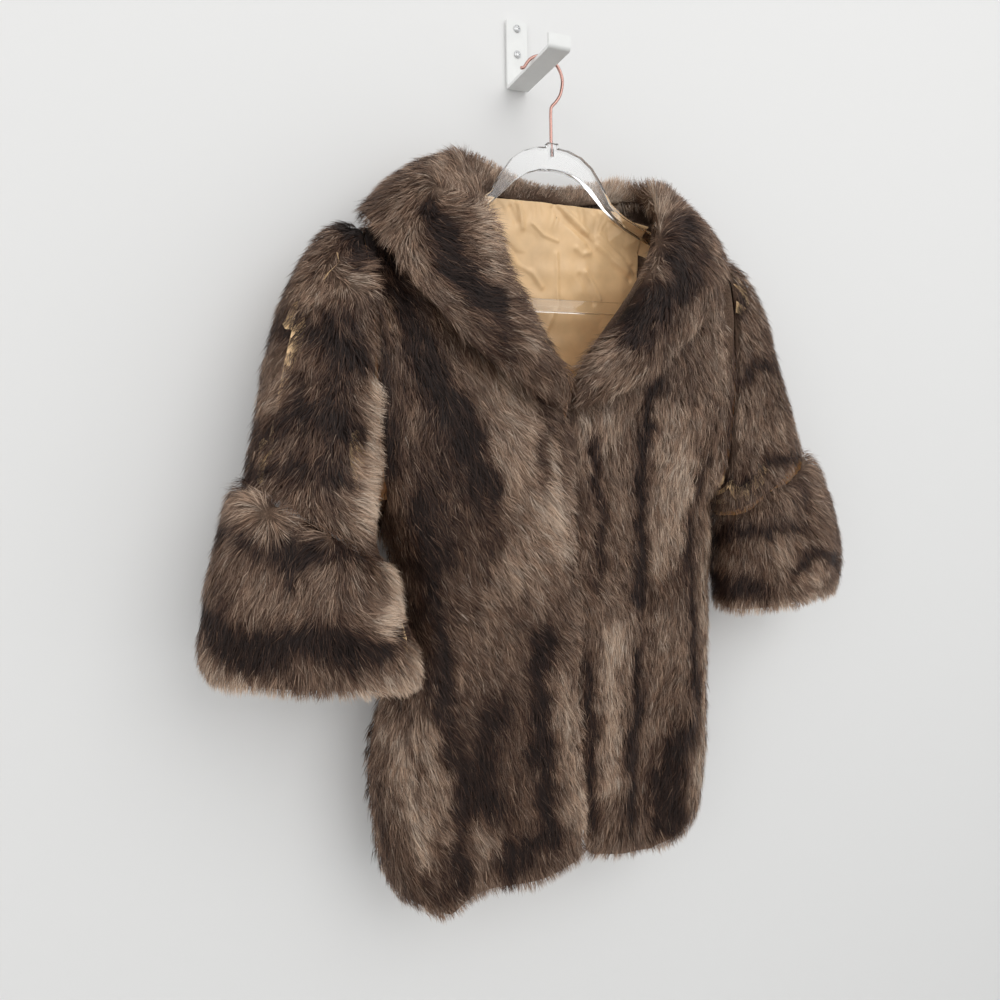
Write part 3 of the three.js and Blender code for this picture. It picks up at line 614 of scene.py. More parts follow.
def lining_satin(name, trim):
    """Acetate satin: long floats of yarn, so it is smooth one way and gleams along the folds."""
    material, tree, output = new_material(name)
    place = add_node(tree, "ShaderNodeTexCoord")
    # Satin has some forty threads to the centimetre. They are drawn at a millimetre to show.
    threads = add_node(
        tree,
        "ShaderNodeMapping",
        {"Vector": place.outputs["Object"], "Scale": (1 / MM, 1 / MM, 1 / (14 * MM))},
    )
    slub = add_node(
        tree, "ShaderNodeTexNoise", {"Vector": threads.outputs["Vector"], "Scale": 1.0, "Detail": 2.0}
    )
    cloud = add_node(
        tree,
        "ShaderNodeTexNoise",
        {"Vector": place.outputs["Object"], "Scale": 1 / (28 * MM), "Detail": 3.0},
    )
    pale = tuple(min(1.0, c * 1.08) for c in trim.satin)
    deep = tuple(c * 0.86 for c in trim.satin)
    ramp = add_node(
        tree, "ShaderNodeValToRGB", {"Fac": cloud.outputs["Fac"]}, stops=[(0.3, deep), (0.7, pale)]
    )
    bump = add_node(
        tree, "ShaderNodeBump", {"Height": slub.outputs["Fac"], "Strength": 0.25, "Distance": 0.4 * MM}
    )
    surface = add_node(
        tree,
        "ShaderNodeBsdfPrincipled",
        {
            "Base Color": ramp.outputs["Color"],
            "Roughness": 0.4,
            "Specular IOR Level": 0.6,
            "Sheen Weight": 0.15,
            "Normal": bump.outputs["Normal"],
        },
    )
    tree.links.new(surface.outputs["BSDF"], output.inputs["Surface"])
    return material


def clear_acrylic(name):
    """Injection-moulded clear acrylic: nearly invisible in the middle, bright and grey on edges."""
    material, tree, output = new_material(name)
    place = add_node(tree, "ShaderNodeTexCoord")
    # The moulding leaves waves about a centimetre long in the gloss.
    flow = add_node(
        tree,
        "ShaderNodeTexNoise",
        {"Vector": place.outputs["Object"], "Scale": 1 / (11 * MM), "Detail": 1.0},
    )
    bump = add_node(
        tree, "ShaderNodeBump", {"Height": flow.outputs["Fac"], "Strength": 0.05, "Distance": 0.5 * MM}
    )
    surface = add_node(
        tree,
        "ShaderNodeBsdfPrincipled",
        {
            "Base Color": (0.97, 0.98, 0.985, 1.0),
            "Roughness": 0.015,
            "IOR": 1.49,
            "Transmission Weight": 1.0,
            "Normal": bump.outputs["Normal"],
        },
    )
    tree.links.new(surface.outputs["BSDF"], output.inputs["Surface"])
    return material


def plated_wire(name, trim):
    """Rose-gold plated steel wire: a bright draw finish with fine lines along it."""
    material, tree, output = new_material(name)
    place = add_node(tree, "ShaderNodeTexCoord")
    wear = add_node(
        tree,
        "ShaderNodeTexNoise",
        {"Vector": place.outputs["Object"], "Scale": 1 / (3 * MM), "Detail": 4.0},
    )
    rough = add_node(
        tree, "ShaderNodeMapRange", {"Value": wear.outputs["Fac"], "To Min": 0.18, "To Max": 0.36}
    )
    surface = add_node(
        tree,
        "ShaderNodeBsdfPrincipled",
        {"Base Color": tuple(trim.wire) + (1.0,), "Metallic": 1.0, "Roughness": rough.outputs["Result"]},
    )
    tree.links.new(surface.outputs["BSDF"], output.inputs["Surface"])
    return material


def powder_coat(name, trim):
    """Powder coat on bent steel: even satin white with the fine orange peel of baked powder."""
    material, tree, output = new_material(name)
    place = add_node(tree, "ShaderNodeTexCoord")
    peel = add_node(
        tree,
        "ShaderNodeTexNoise",
        {"Vector": place.outputs["Object"], "Scale": 1 / (0.9 * MM), "Detail": 2.0},
    )
    dirt = add_node(
        tree,
        "ShaderNodeTexNoise",
        {"Vector": place.outputs["Object"], "Scale": 1 / (18 * MM), "Detail": 4.0},
    )
    ramp = add_node(
        tree,
        "ShaderNodeValToRGB",
        {"Fac": dirt.outputs["Fac"]},
        stops=[(0.35, tuple(c * 0.95 for c in trim.paint)), (0.6, tuple(trim.paint))],
    )
    bump = add_node(
        tree, "ShaderNodeBump", {"Height": peel.outputs["Fac"], "Strength": 0.2, "Distance": 0.2 * MM}
    )
    surface = add_node(
        tree,
        "ShaderNodeBsdfPrincipled",
        {"Base Color": ramp.outputs["Color"], "Roughness": 0.42, "Normal": bump.outputs["Normal"]},
    )
    tree.links.new(surface.outputs["BSDF"], output.inputs["Surface"])
    return material


def zinc_steel(name, trim):
    """Zinc-plated screw heads: grey, softly blotched metal."""
    material, tree, output = new_material(name)
    place = add_node(tree, "ShaderNodeTexCoord")
    blotch = add_node(
        tree,
        "ShaderNodeTexNoise",
        {"Vector": place.outputs["Object"], "Scale": 1 / (1.2 * MM), "Detail": 3.0},
    )
    ramp = add_node(
        tree,
        "ShaderNodeValToRGB",
        {"Fac": blotch.outputs["Fac"]},
        stops=[(0.3, tuple(c * 0.8 for c in trim.steel)), (0.7, tuple(trim.steel))],
    )
    surface = add_node(
        tree,
        "ShaderNodeBsdfPrincipled",
        {"Base Color": ramp.outputs["Color"], "Metallic": 1.0, "Roughness": 0.38},
    )
    tree.links.new(surface.outputs["BSDF"], output.inputs["Surface"])
    return material


def wall_paint(name, room):
    """Emulsion on plaster. It shows from the room side only, and lets light from behind it pass."""
    material, tree, output = new_material(name)
    place = add_node(tree, "ShaderNodeTexCoord")
    roller = add_node(
        tree,
        "ShaderNodeTexNoise",
        {"Vector": place.outputs["Object"], "Scale": 1 / (6 * MM), "Detail": 2.0},
    )
    bump = add_node(
        tree, "ShaderNodeBump", {"Height": roller.outputs["Fac"], "Strength": 0.05, "Distance": 0.4 * MM}
    )
    paint = add_node(
        tree,
        "ShaderNodeBsdfPrincipled",
        {"Base Color": tuple(room.wall) + (1.0,), "Roughness": 0.75, "Normal": bump.outputs["Normal"]},
    )
    side = add_node(tree, "ShaderNodeNewGeometry")
    path = add_node(tree, "ShaderNodeLightPath")
    open_way = add_node(
        tree,
        "ShaderNodeMath",
        {0: side.outputs["Backfacing"], 1: path.outputs["Is Shadow Ray"]},
        operation="MAXIMUM",
    )
    clear = add_node(tree, "ShaderNodeBsdfTransparent")
    mix = add_node(
        tree,
        "ShaderNodeMixShader",
        {0: open_way.outputs[0], 1: paint.outputs["BSDF"], 2: clear.outputs["BSDF"]},
    )
    tree.links.new(mix.outputs["Shader"], output.inputs["Surface"])
    return material


def floor_paint(name, room):
    """Pale screed, well under the jacket."""
    material, tree, output = new_material(name)
    place = add_node(tree, "ShaderNodeTexCoord")
    cloud = add_node(
        tree, "ShaderNodeTexNoise", {"Vector": place.outputs["Object"], "Scale": 4.0, "Detail": 4.0}
    )
    ramp = add_node(
        tree,
        "ShaderNodeValToRGB",
        {"Fac": cloud.outputs["Fac"]},
        stops=[(0.3, tuple(c * 0.74 for c in room.wall)), (0.7, tuple(c * 0.8 for c in room.wall))],
    )
    surface = add_node(
        tree, "ShaderNodeBsdfPrincipled", {"Base Color": ramp.outputs["Color"], "Roughness": 0.7}
    )
    tree.links.new(surface.outputs["BSDF"], output.inputs["Surface"])
    return material


def ripple(points, wavelength, seed):
    """Smooth unevenness of about -1 to 1: a few sine waves in fixed directions."""
    source = np.random.default_rng(seed)
    total = np.zeros(len(points))
    for _ in range(7):
        way = source.normal(size=3)
        way *= 2 * math.pi / wavelength / np.linalg.norm(way) * source.uniform(0.6, 1.5)
        total += np.sin(points @ way + source.uniform(0, 2 * math.pi))
    return total / 2.6


def unit(vectors):
    return vectors / np.maximum(np.linalg.norm(vectors, axis=1, keepdims=True), 1e-9)


def lean(first, second, angle):
    """The first direction turned by an angle towards the second, which is square to it."""
    return first * np.cos(angle)[:, None] + second * np.sin(angle)[:, None]


def mark_points(node, path):
    """Shares of the node's box as x and z in metres."""
    low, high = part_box(node)
    return [
        (low[0] + across * (high[0] - low[0]), high[2] - down * (high[2] - low[2]))
        for across, down in path
    ]


def bell(distance, width):
    """1 at no distance, falling to almost nothing at twice the width, which is in mm."""
    return np.exp(-((distance / (width * MM)) ** 2))


def line_distance(x, z, path):
    """Distance of each point from a bent line, in the plane of the wall."""
    nearest = np.full(len(x), 1e9)
    for (ax, az), (bx, bz) in zip(path[:-1], path[1:]):
        dx, dz = bx - ax, bz - az
        along = ((x - ax) * dx + (z - az) * dz) / max(dx * dx + dz * dz, 1e-12)
        along = np.clip(along, 0, 1)
        nearest = np.minimum(nearest, np.hypot(x - ax - along * dx, z - az - along * dz))
    return nearest


def fur_tone(node, points):
    """How pale the fur is at each point, from 0, black, to 1, beige. Some marks add painted shade or light.
    """
    x = points[:, 0] + 4 * MM * ripple(points, 0.045, 11) + 2 * MM * ripple(points, 0.014, 12)
    z = points[:, 2] + 5 * MM * ripple(points, 0.045, 13) + 3 * MM * ripple(points, 0.014, 14)
    tone = np.full(len(points), GROUND[node])
    tone += 0.06 * ripple(points * (1, 1, 0.5), 0.07, 15)
    tone += 0.05 * ripple(points * (1, 1, 0.4), 0.022, 16)
    for _, change, width, path in MARKS[node]:
        away = line_distance(x, z, mark_points(node, path)) / (width * MM)
        tone += change * np.exp(-np.minimum(away * away, 30))
    return np.clip(tone, 0.02, 0.98)


def combed(node, points, normals):
    """The way the hair lies at each point, along the skin."""
    total = np.zeros((len(points), 3))
    for across, down, angle in COMBED[node]:
        x, z = mark_points(node, ((across, down),))[0]
        weight = ((points[:, 0] - x) ** 2 + (points[:, 2] - z) ** 2 + (9 * MM) ** 2) ** -1.5
        turn = math.radians(angle)
        total[:, 0] += weight * math.sin(turn)
        total[:, 2] -= weight * math.cos(turn)
    way = unit(total)
    behind = np.clip((normals[:, 1] - 0.2) / 0.4, 0, 1)
    way[:, 2] = way[:, 2] * (1 - behind) - behind
    over = np.maximum(normals[:, 2], 0)
    if node == "collar":
        way[:, 1] += 1.2 * over
    else:
        way[:, 0] += over * np.sign(points[:, 0])
    way -= (way * normals).sum(1, keepdims=True) * normals
    way = unit(way)
    turn = np.radians(9 * ripple(points, 0.05, 21) + 5 * ripple(points, 0.014, 22))
    return lean(way, np.cross(normals, way), turn)


def merged_copy(node, name):
    """A CAD node's loose triangles as a new object whose corners are shared."""
    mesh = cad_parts[node].data.copy()
    mesh.name = name
    mesh.materials.clear()
    for layer in list(mesh.uv_layers):
        mesh.uv_layers.remove(layer)
    work = bmesh.new()
    work.from_mesh(mesh)
    bmesh.ops.remove_doubles(work, verts=work.verts, dist=0.02 * MM)
    work.to_mesh(mesh)
    work.free()
    if "custom_normal" in mesh.attributes:
        mesh.attributes.remove(mesh.attributes["custom_normal"])
    piece = bpy.data.objects.new(name, mesh)
    bpy.context.scene.collection.objects.link(piece)
    return piece


def select_only(*pieces):
    """Deselects all, then selects the pieces and makes the last one active."""
    for other in bpy.context.selected_objects:
        other.select_set(False)
    for piece in pieces:
        bpy.context.view_layer.objects.active = piece
        piece.select_set(True)


def apply_modifier(piece, kind, **settings):
    """Adds a modifier and applies it."""
    select_only(piece)
    modifier = piece.modifiers.new(kind.title(), kind)
    for name, value in settings.items():
        setattr(modifier, name, value)
    bpy.ops.object.modifier_apply(modifier=modifier.name)
    piece.select_set(False)


def smooth_by_angle(piece, degrees):
    """Shades smooth over edges that turn less than the angle."""
    select_only(piece)
    bpy.ops.object.shade_smooth_by_angle(angle=math.radians(degrees))
    piece.select_set(False)


def flat_normals(piece):
    """Shades smooth with each flat face kept flat, so that only its bevel turns."""
    smooth_by_angle(piece, 50)
    apply_modifier(piece, "WEIGHTED_NORMAL", keep_sharp=True, weight=100)


def point_array(mesh):
    points = np.empty(len(mesh.vertices) * 3)
    mesh.vertices.foreach_get("co", points)
    return points.reshape(-1, 3)


def move_points(mesh, points):
    mesh.vertices.foreach_set("co", points.ravel())
    mesh.update()


def face_kinds(mesh):
    """The number of each face's material, which is its kind on a pelt."""
    kinds = np.empty(len(mesh.polygons), np.int32)
    mesh.polygons.foreach_get("material_index", kinds)
    return kinds


def face_arrays(mesh):
    """Centres and normals of a mesh's faces."""
    centres = np.empty(len(mesh.polygons) * 3)
    normals = np.empty(len(mesh.polygons) * 3)
    mesh.polygons.foreach_get("center", centres)
    mesh.polygons.foreach_get("normal", normals)
    return centres.reshape(-1, 3), normals.reshape(-1, 3)


def node_tree(names):
    """Some CAD nodes as one tree, for rays and distances."""
    points, faces = [], []
    for name in names:
        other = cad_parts[name]
        start = len(points)
        points += [v.co.copy() for v in other.data.vertices]
        faces += [[start + i for i in face.vertices] for face in other.data.polygons]
    return BVHTree.FromPolygons(points, faces)


def distance_to(names, points):
    """Distance of each point from the nearest of some CAD nodes."""
    tree = node_tree(names)
    return np.array([tree.find_nearest(point)[3] for point in points.tolist()])


def tube_axis(mesh, centres):
    """The middle of a tube at the height of each face."""
    points = point_array(mesh)
    low, high = points[:, 2].min(), points[:, 2].max()
    levels = np.linspace(low, high, 9)
    middle = []
    for a, b in zip(levels[:-1], levels[1:]):
        band = points[(points[:, 2] >= a) & (points[:, 2] <= b)]
        middle.append((band.min(0) + band.max(0)) / 2 if len(band) else (np.nan,) * 3)
    middle = np.array(middle)
    heights = (levels[:-1] + levels[1:]) / 2
    known = ~np.isnan(middle[:, 0])
    axis = centres.copy()
    axis[:, 0] = np.interp(centres[:, 2], heights[known], middle[known, 0])
    axis[:, 1] = np.interp(centres[:, 2], heights[known], middle[known, 1])
    return axis


# What a face of a pelt is: the furred side, the satin that looks in, the cut edge, or a place
# where the pelt lies on a neighbour.
FURRED, INSIDE, RIM, COVERED = 0, 1, 2, 3
# How far to look for a neighbour that covers a face: under the collar's roll, and elsewhere.
COLLAR_GAP = 60 * MM
SEAM_GAP = 2 * MM
# A ray across a tube starts beyond its creases and is longer than the tube is wide.
TUBE_START = 25 * MM
TUBE_REACH = 0.25


def furred_faces(node, mesh, cover):
    """The kind of each face, from the way it looks."""
    centres, normals = face_arrays(mesh)
    if node == "collar":
        out = np.ones(len(centres), bool)
        within = ~out
        reach = COLLAR_GAP
    elif node.startswith(("sleeve", "cuff")):
        # Inside a tube, a face looks at the far wall and towards the middle line.
        tube = node_tree((node,))
        starts = centres + normals * TUBE_START
        ends_on_wall = np.array(
            [
                tube.ray_cast(Vector(p), Vector(n), TUBE_REACH)[0] is not None
                for p, n in zip(starts, normals)
            ]
        )
        away = centres - tube_axis(mesh, centres)
        away[:, 2] = 0
        outward = (unit(away) * normals).sum(1)
        within = ends_on_wall & (outward < -0.3)
        out = (~ends_on_wall & (normals[:, 2] > -0.6)) | (outward > 0.3)
        reach = SEAM_GAP
    else:
        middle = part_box("hanger_body")[0].y + 4 * MM
        heart = np.stack(
            (
                centres[:, 0] * 0.55,
                np.full(len(centres), middle),
                np.minimum(centres[:, 2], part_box("collar")[0].z + 60 * MM),
            ),
            1,
        )
        outward = (unit(centres - heart) * normals).sum(1)
        out = outward > 0.12
        inward = normals[:, 1] * (-1 if node == "back" else 1)
        within = (outward < -0.4) & (inward > 0.5)
        reach = SEAM_GAP
    kinds = np.where(out, FURRED, np.where(within, INSIDE, RIM))
    for i in range(len(kinds)):
        start = Vector(centres[i] + normals[i] * 0.05 * MM)
        hit = cover.ray_cast(start, Vector(normals[i]), reach)[3]
        if hit is not None and out[i]:
            kinds[i] = COVERED
    return kinds


def sink_outer(mesh, out, depth):
    """Moves the furred side in by the pile's depth. The seams and the inner side stay."""
    normals = face_arrays(mesh)[1]
    total = np.zeros((len(mesh.vertices), 3))
    for i in np.flatnonzero(out):
        face = mesh.polygons[i]
        for v in face.vertices:
            total[v] += normals[i] * face.area
    carried = np.linalg.norm(total, axis=1) > 0
    points = point_array(mesh)
    points[carried] -= unit(total[carried]) * depth
    move_points(mesh, points)


def make_pelt(node, fur, trim):
    """The thin backing of one fur piece, with its underfur outside and satin inside."""
    pelt = merged_copy(node, node + "_pelt")
    mesh = pelt.data
    cover = node_tree([name for name in FUR_NODES + ("lining_back",) if name != node])
    kinds = furred_faces(node, mesh, cover)
    wool = pelt_underfur("underfur_" + node, fur)
    # In the order of the kinds of face.
    for material in (wool, lining_satin("satin_inside_" + node, trim), wool, wool):
        mesh.materials.append(material)
    mesh.polygons.foreach_set("material_index", kinds)
    sink_outer(mesh, kinds == FURRED, fur.depth)
    work = bmesh.new()
    work.from_mesh(mesh)
    bmesh.ops.join_triangles(
        work,
        faces=work.faces,
        cmp_materials=True,
        angle_face_threshold=math.radians(30),
        angle_shape_threshold=math.radians(70),
    )
    work.to_mesh(mesh)
    work.free()
    apply_modifier(pelt, "SUBSURF", levels=1, render_levels=1)
    mesh = pelt.data
    mesh.shade_smooth()
    points = point_array(mesh)
    shade = fur_tone(node, points)
    tone = mesh.attributes.new("tone", "FLOAT", "POINT")
    tone.data.foreach_set("value", shade.astype(np.float32))
    furred = np.zeros(len(points), bool)
    for face in mesh.polygons:
        if face.material_index == FURRED:
            furred[list(face.vertices)] = True
    normals = np.empty(len(points) * 3)
    mesh.vertices.foreach_get("normal", normals)
    rise = 5 * MM * (shade - GROUND[node]) + 1.2 * MM * ripple(points, 0.06, 51)
    for height, width, path in RELIEF.get(node, ()):
        away = line_distance(points[:, 0], points[:, 2], mark_points(node, path))
        rise += height * MM * bell(away, width)
    points += normals.reshape(-1, 3) * np.where(furred, rise, 0)[:, None]
    move_points(mesh, points)
    return pelt, cover


def scatter(mesh, number, source, far_share):
    """Random roots on the furred faces, with their smoothed normals."""
    mesh.calc_loop_triangles()
    count = len(mesh.loop_triangles)
    corners = np.empty(count * 3, np.int32)
    mesh.loop_triangles.foreach_get("vertices", corners)
    corners = corners.reshape(-1, 3)
    which = np.empty(count, np.int32)
    mesh.loop_triangles.foreach_get("polygon_index", which)
    corners = corners[face_kinds(mesh)[which] == FURRED]
    points = point_array(mesh)
    a, b, c = points[corners[:, 0]], points[corners[:, 1]], points[corners[:, 2]]
    cross = np.cross(b - a, c - a)
    area = np.linalg.norm(cross, axis=1) / 2
    # Vertex normals from the furred faces alone, so that rims don't tilt the hair.
    smooth = np.zeros_like(points)
    for k in range(3):
        np.add.at(smooth, corners[:, k], cross)
    smooth = unit(smooth)
    facing = cross[:, 1] / np.maximum(2 * area, 1e-12)
    weight = area * np.where(facing > 0.35, far_share, 1.0)
    ends = np.cumsum(weight)
    pick = np.searchsorted(ends, source.random(number) * ends[-1])
    pick = np.minimum(pick, len(corners) - 1)
    u, v = source.random(number), source.random(number)
    over = u + v > 1
    u[over], v[over] = 1 - u[over], 1 - v[over]
    w = 1 - u - v
    roots = w[:, None] * a[pick] + u[:, None] * b[pick] + v[:, None] * c[pick]
    n = corners[pick]
    normals = w[:, None] * smooth[n[:, 0]] + u[:, None] * smooth[n[:, 1]]
    normals = unit(normals + v[:, None] * smooth[n[:, 2]])
    return roots, normals


def rim_room(pelt, roots):
    """Distance of each root from the piece's open rims: hems, front edges and collar edges."""
    mesh = pelt.data
    sides = [set(), set()]
    for face, kind in zip(mesh.polygons, face_kinds(mesh)):
        if kind != COVERED:
            sides[int(kind > FURRED)].update(face.vertices)
    rim = sides[0] & sides[1]
    if pelt.name.startswith("cuff"):
        points = point_array(mesh)
        middle = points[:, 2].mean()
        rim = {v for v in rim if points[v, 2] < middle}
    if pelt.name.startswith("sleeve"):
        rim = set()
    if not rim:
        return np.full(len(roots), 1.0)
    tree = KDTree(len(rim))
    for k, v in enumerate(rim):
        tree.insert(mesh.vertices[v].co, k)
    tree.balance()
    return np.array([tree.find(r)[2] for r in roots.tolist()])


def clump_of(roots, size, source):
    """The lock that each blade belongs to: the index of the lock's middle blade."""
    chosen = source.choice(len(roots), max(1, len(roots) // size), replace=False)
    tree = KDTree(len(chosen))
    for k in chosen:
        tree.insert(roots[k], int(k))
    tree.balance()
    return np.array([tree.find(r)[1] for r in roots.tolist()])


# The least room that a tip leaves in front of the wall.
WALL_ROOM = 0.8 * MM
# How locks differ from each other, and blades within a lock: turn and rise in degrees, and tone.
LOCK_BLADES = 10
LOCK_TURN, LOCK_RISE, LOCK_TONE = 8, 5, 0.05
BLADE_TURN, BLADE_RISE, BLADE_TONE = 13, 9, 0.11
BELOW_BEND, ABOVE_BEND = 0.42, 0.58
# Blades on a face that looks at the wall, against one that looks into the room.
FAR_SHARE = 0.55


def make_pile(node, pelt, cover, number, length, fur):
    """The joined blades of one piece. A blade is a bent kite: root, two sides, and tip."""
    source = np.random.default_rng(sum(map(ord, node)))
    thin = 1.0
    number = int(number * thin)
    far_share = FAR_SHARE if node != "back" else 1.0
    roots, normals = scatter(pelt.data, number, source, far_share)
    reach = fur.depth + 6 * MM
    clear = [
        cover.ray_cast(Vector(r + n * 0.3 * MM), Vector(n), reach)[0] is None
        for r, n in zip(roots, normals)
    ]
    roots, normals = roots[clear], normals[clear]
    number = len(roots)
    room = rim_room(pelt, roots)
    lock = clump_of(roots, LOCK_BLADES, source)
    way = combed(node, roots, normals)
    lock_turn = source.normal(0, LOCK_TURN, number)[lock]
    lock_tone = source.normal(0, LOCK_TONE, number)[lock]
    lock_rise = source.normal(0, LOCK_RISE, number)[lock]
    side = np.cross(normals, way)
    turn = np.radians(lock_turn + source.normal(0, BLADE_TURN, number))
    way = lean(way, side, turn)
    side = np.cross(normals, way)
    size = length * (1 + 0.1 * ripple(roots, 0.04, 31)) * source.uniform(0.75, 1.15, number)
    size = np.minimum(size, 0.8 * room + source.uniform(8, 14, number) * MM)
    if node == "collar":
        nape = np.exp(-((roots[:, 0] / 0.08) ** 4)) * (roots[:, 2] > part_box(node)[1].z - 45 * MM)
        size *= 1 - 0.45 * nape
    # The tips are what the eye sees, so the marks are read two thirds of the way along.
    tone = fur_tone(node, roots + way * (0.62 * size)[:, None])
    tone += lock_tone + source.normal(0, BLADE_TONE, number)
    tone += 0.2 * bell(room, 7)
    # Painted shade: the tone is darkened beside the pieces that lie over this one.
    if node in OVER:
        tone -= 0.3 * bell(distance_to(OVER[node], roots), 11)
    stray = source.random(number)
    tone += np.where(stray < 0.1, 0.22, 0.0) - np.where(stray > 0.93, 0.16, 0.0)
    tone = np.clip(tone, 0.03, 0.97)
    low = np.degrees(fur.rise) + lock_rise + source.normal(0, BLADE_RISE, number)
    low += np.where(source.random(number) < 0.1, 14, 0)
    if node in JOINED:
        # The hair stands up where a cuff is sewn on, which hides the seam.
        joined, lift = JOINED[node]
        low += lift * bell(distance_to((joined,), roots), 16)
    low = np.radians(np.clip(low, 8, 66))
    high = low * source.uniform(0.05, 0.5, number)
    first, last = lean(way, normals, low), lean(way, normals, high)
    middle = roots + first * (BELOW_BEND * size)[:, None]
    tips = middle + last * (ABOVE_BEND * size)[:, None]
    tips += 0.22 * (tips[lock] - tips)
    middle += 0.12 * (middle[lock] - middle)
    across = lean(side, normals, np.radians(source.normal(0, 30, number)))
    across -= (across * last).sum(1, keepdims=True) * last
    across = unit(across)
    wide = fur.width / math.sqrt(thin) * source.uniform(0.6, 1.3, number)
    if node == "back":
        wide *= 1.5
    blade = unit(np.cross(across, last))
    facing = np.where((blade * normals).sum(1, keepdims=True) < 0, -1.0, 1.0)
    blade, across = blade * facing, across * facing
    left = middle - across * (wide / 2)[:, None]
    right = middle + across * (wide / 2)[:, None]
    points = np.stack((roots, left, right, tips), 1).reshape(-1, 3)
    points[:, 1] = np.minimum(points[:, 1], -WALL_ROOM)
    start = np.arange(number)[:, None] * 4
    corners = (start + np.array([[0, 2, 1, 1, 2, 3]])).ravel()
    mesh = bpy.data.meshes.new(node + "_pile")
    mesh.vertices.add(len(points))
    mesh.vertices.foreach_set("co", points.ravel())
    mesh.loops.add(len(corners))
    mesh.loops.foreach_set("vertex_index", corners)
    mesh.polygons.add(number * 2)
    mesh.polygons.foreach_set("loop_start", np.arange(number * 2) * 3)
    mesh.update(calc_edges=True)
    # The map's first number holds the cast and the tone. Each blade takes a sliver of the map.
    cast = source.choice(3, number, p=(0.3, 0.45, 0.25))[lock]
    mark = (cast + tone) / 3
    part = 0.0025
    u = mark[:, None] + np.array([[0, part, -part, -part, part, 0]])
    v = np.broadcast_to([[0.02, 0.45, 0.45, 0.45, 0.45, 0.98]], (number, 6))
    places = np.stack((u, v), 2).reshape(-1)
    # The same places go into a second map, OFBake, for a bake, so that each blade keeps its own tone.
    for name in ("strand", "OFBake"):
        layer = mesh.uv_layers.new(name=name)
        layer.data.foreach_set("uv", places)
    mesh.polygons.foreach_set("use_smooth", np.ones(number * 2, bool))
    bright = unit(0.7 * normals + 0.5 * blade)
    bright = np.repeat(bright, 4, axis=0)
    mesh.normals_split_custom_set_from_vertices(bright.astype(np.float32))
    mesh.materials.append(pile_hair("pile_hair_" + node, fur))
    pile = bpy.data.objects.new(node + "_pile", mesh)
    bpy.context.scene.collection.objects.link(pile)
    return pile


# Share of all the blades, and the hair's length against the body's.
SHARES = {
    "back": (0.17, 1.15),
    "front_left": (0.16, 1.0),
    "front_right": (0.155, 1.0),
    "sleeve_left": (0.1, 0.92),
    "sleeve_right": (0.075, 0.92),
    "cuff_left": (0.105, 1.0),
    "cuff_right": (0.085, 0.95),
    "collar": (0.15, 0.92),
}


def make_fur_piece(context, node):
    """Pelt and pile of one node, each attached to the root, with the CAD node hidden."""
    fur = context.scene.jacket_fur
    pelt, cover = make_pelt(node, fur, context.scene.jacket_trim)
    share, stretch = SHARES[node]
    pile = make_pile(node, pelt, cover, fur.number * share, fur.length * stretch, fur)
    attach(pelt, "root")
    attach(pile, "root")
    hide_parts(node)


def make_hard_piece(node, name, material, bevel=0, degrees=35):
    """A moulded or metal piece. Its edges over the angle are broken by a bevel, in mm."""
    piece = merged_copy(node, name)
    if bevel:
        apply_modifier(
            piece,
            "BEVEL",
            width=bevel * MM,
            segments=2,
            limit_method="ANGLE",
            angle_limit=math.radians(degrees),
        )
        flat_normals(piece)
    else:
        smooth_by_angle(piece, degrees)
    piece.data.materials.append(material)
    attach(piece, "root")
    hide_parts(node)


class JACKET_OT_body(bpy.types.Operator):
    """Makes the back and the two fronts"""

    bl_idname = "jacket.body"
    bl_label = "Back and fronts"

    def execute(self, context):
        for node in ("back", "front_left", "front_right"):
            make_fur_piece(context, node)
        return {"FINISHED"}


class JACKET_OT_sleeves(bpy.types.Operator):
    """Makes the two sleeves"""

    bl_idname = "jacket.sleeves"
    bl_label = "Sleeves"

    def execute(self, context):
        for node in ("sleeve_left", "sleeve_right"):
            make_fur_piece(context, node)
        return {"FINISHED"}


class JACKET_OT_cuffs(bpy.types.Operator):
    """Makes the two flared cuffs"""

    bl_idname = "jacket.cuffs"
    bl_label = "Cuffs"

    def execute(self, context):
        for node in ("cuff_left", "cuff_right"):
            make_fur_piece(context, node)
        return {"FINISHED"}


class JACKET_OT_collar(bpy.types.Operator):
    """Makes the shawl collar"""

    bl_idname = "jacket.collar"
    bl_label = "Shawl collar"

    def execute(self, context):
        make_fur_piece(context, "collar")
        return {"FINISHED"}


# The lining is cut finely near its top, where its creases show, and coarsely below.
FINE_LINING = 0.16
FINE_EDGE = 2.3 * MM
COARSE_EDGE = 30 * MM
LINING_THICKNESS = 0.7 * MM
LINING_CUT = (0.23, 0.615, 0.1359)


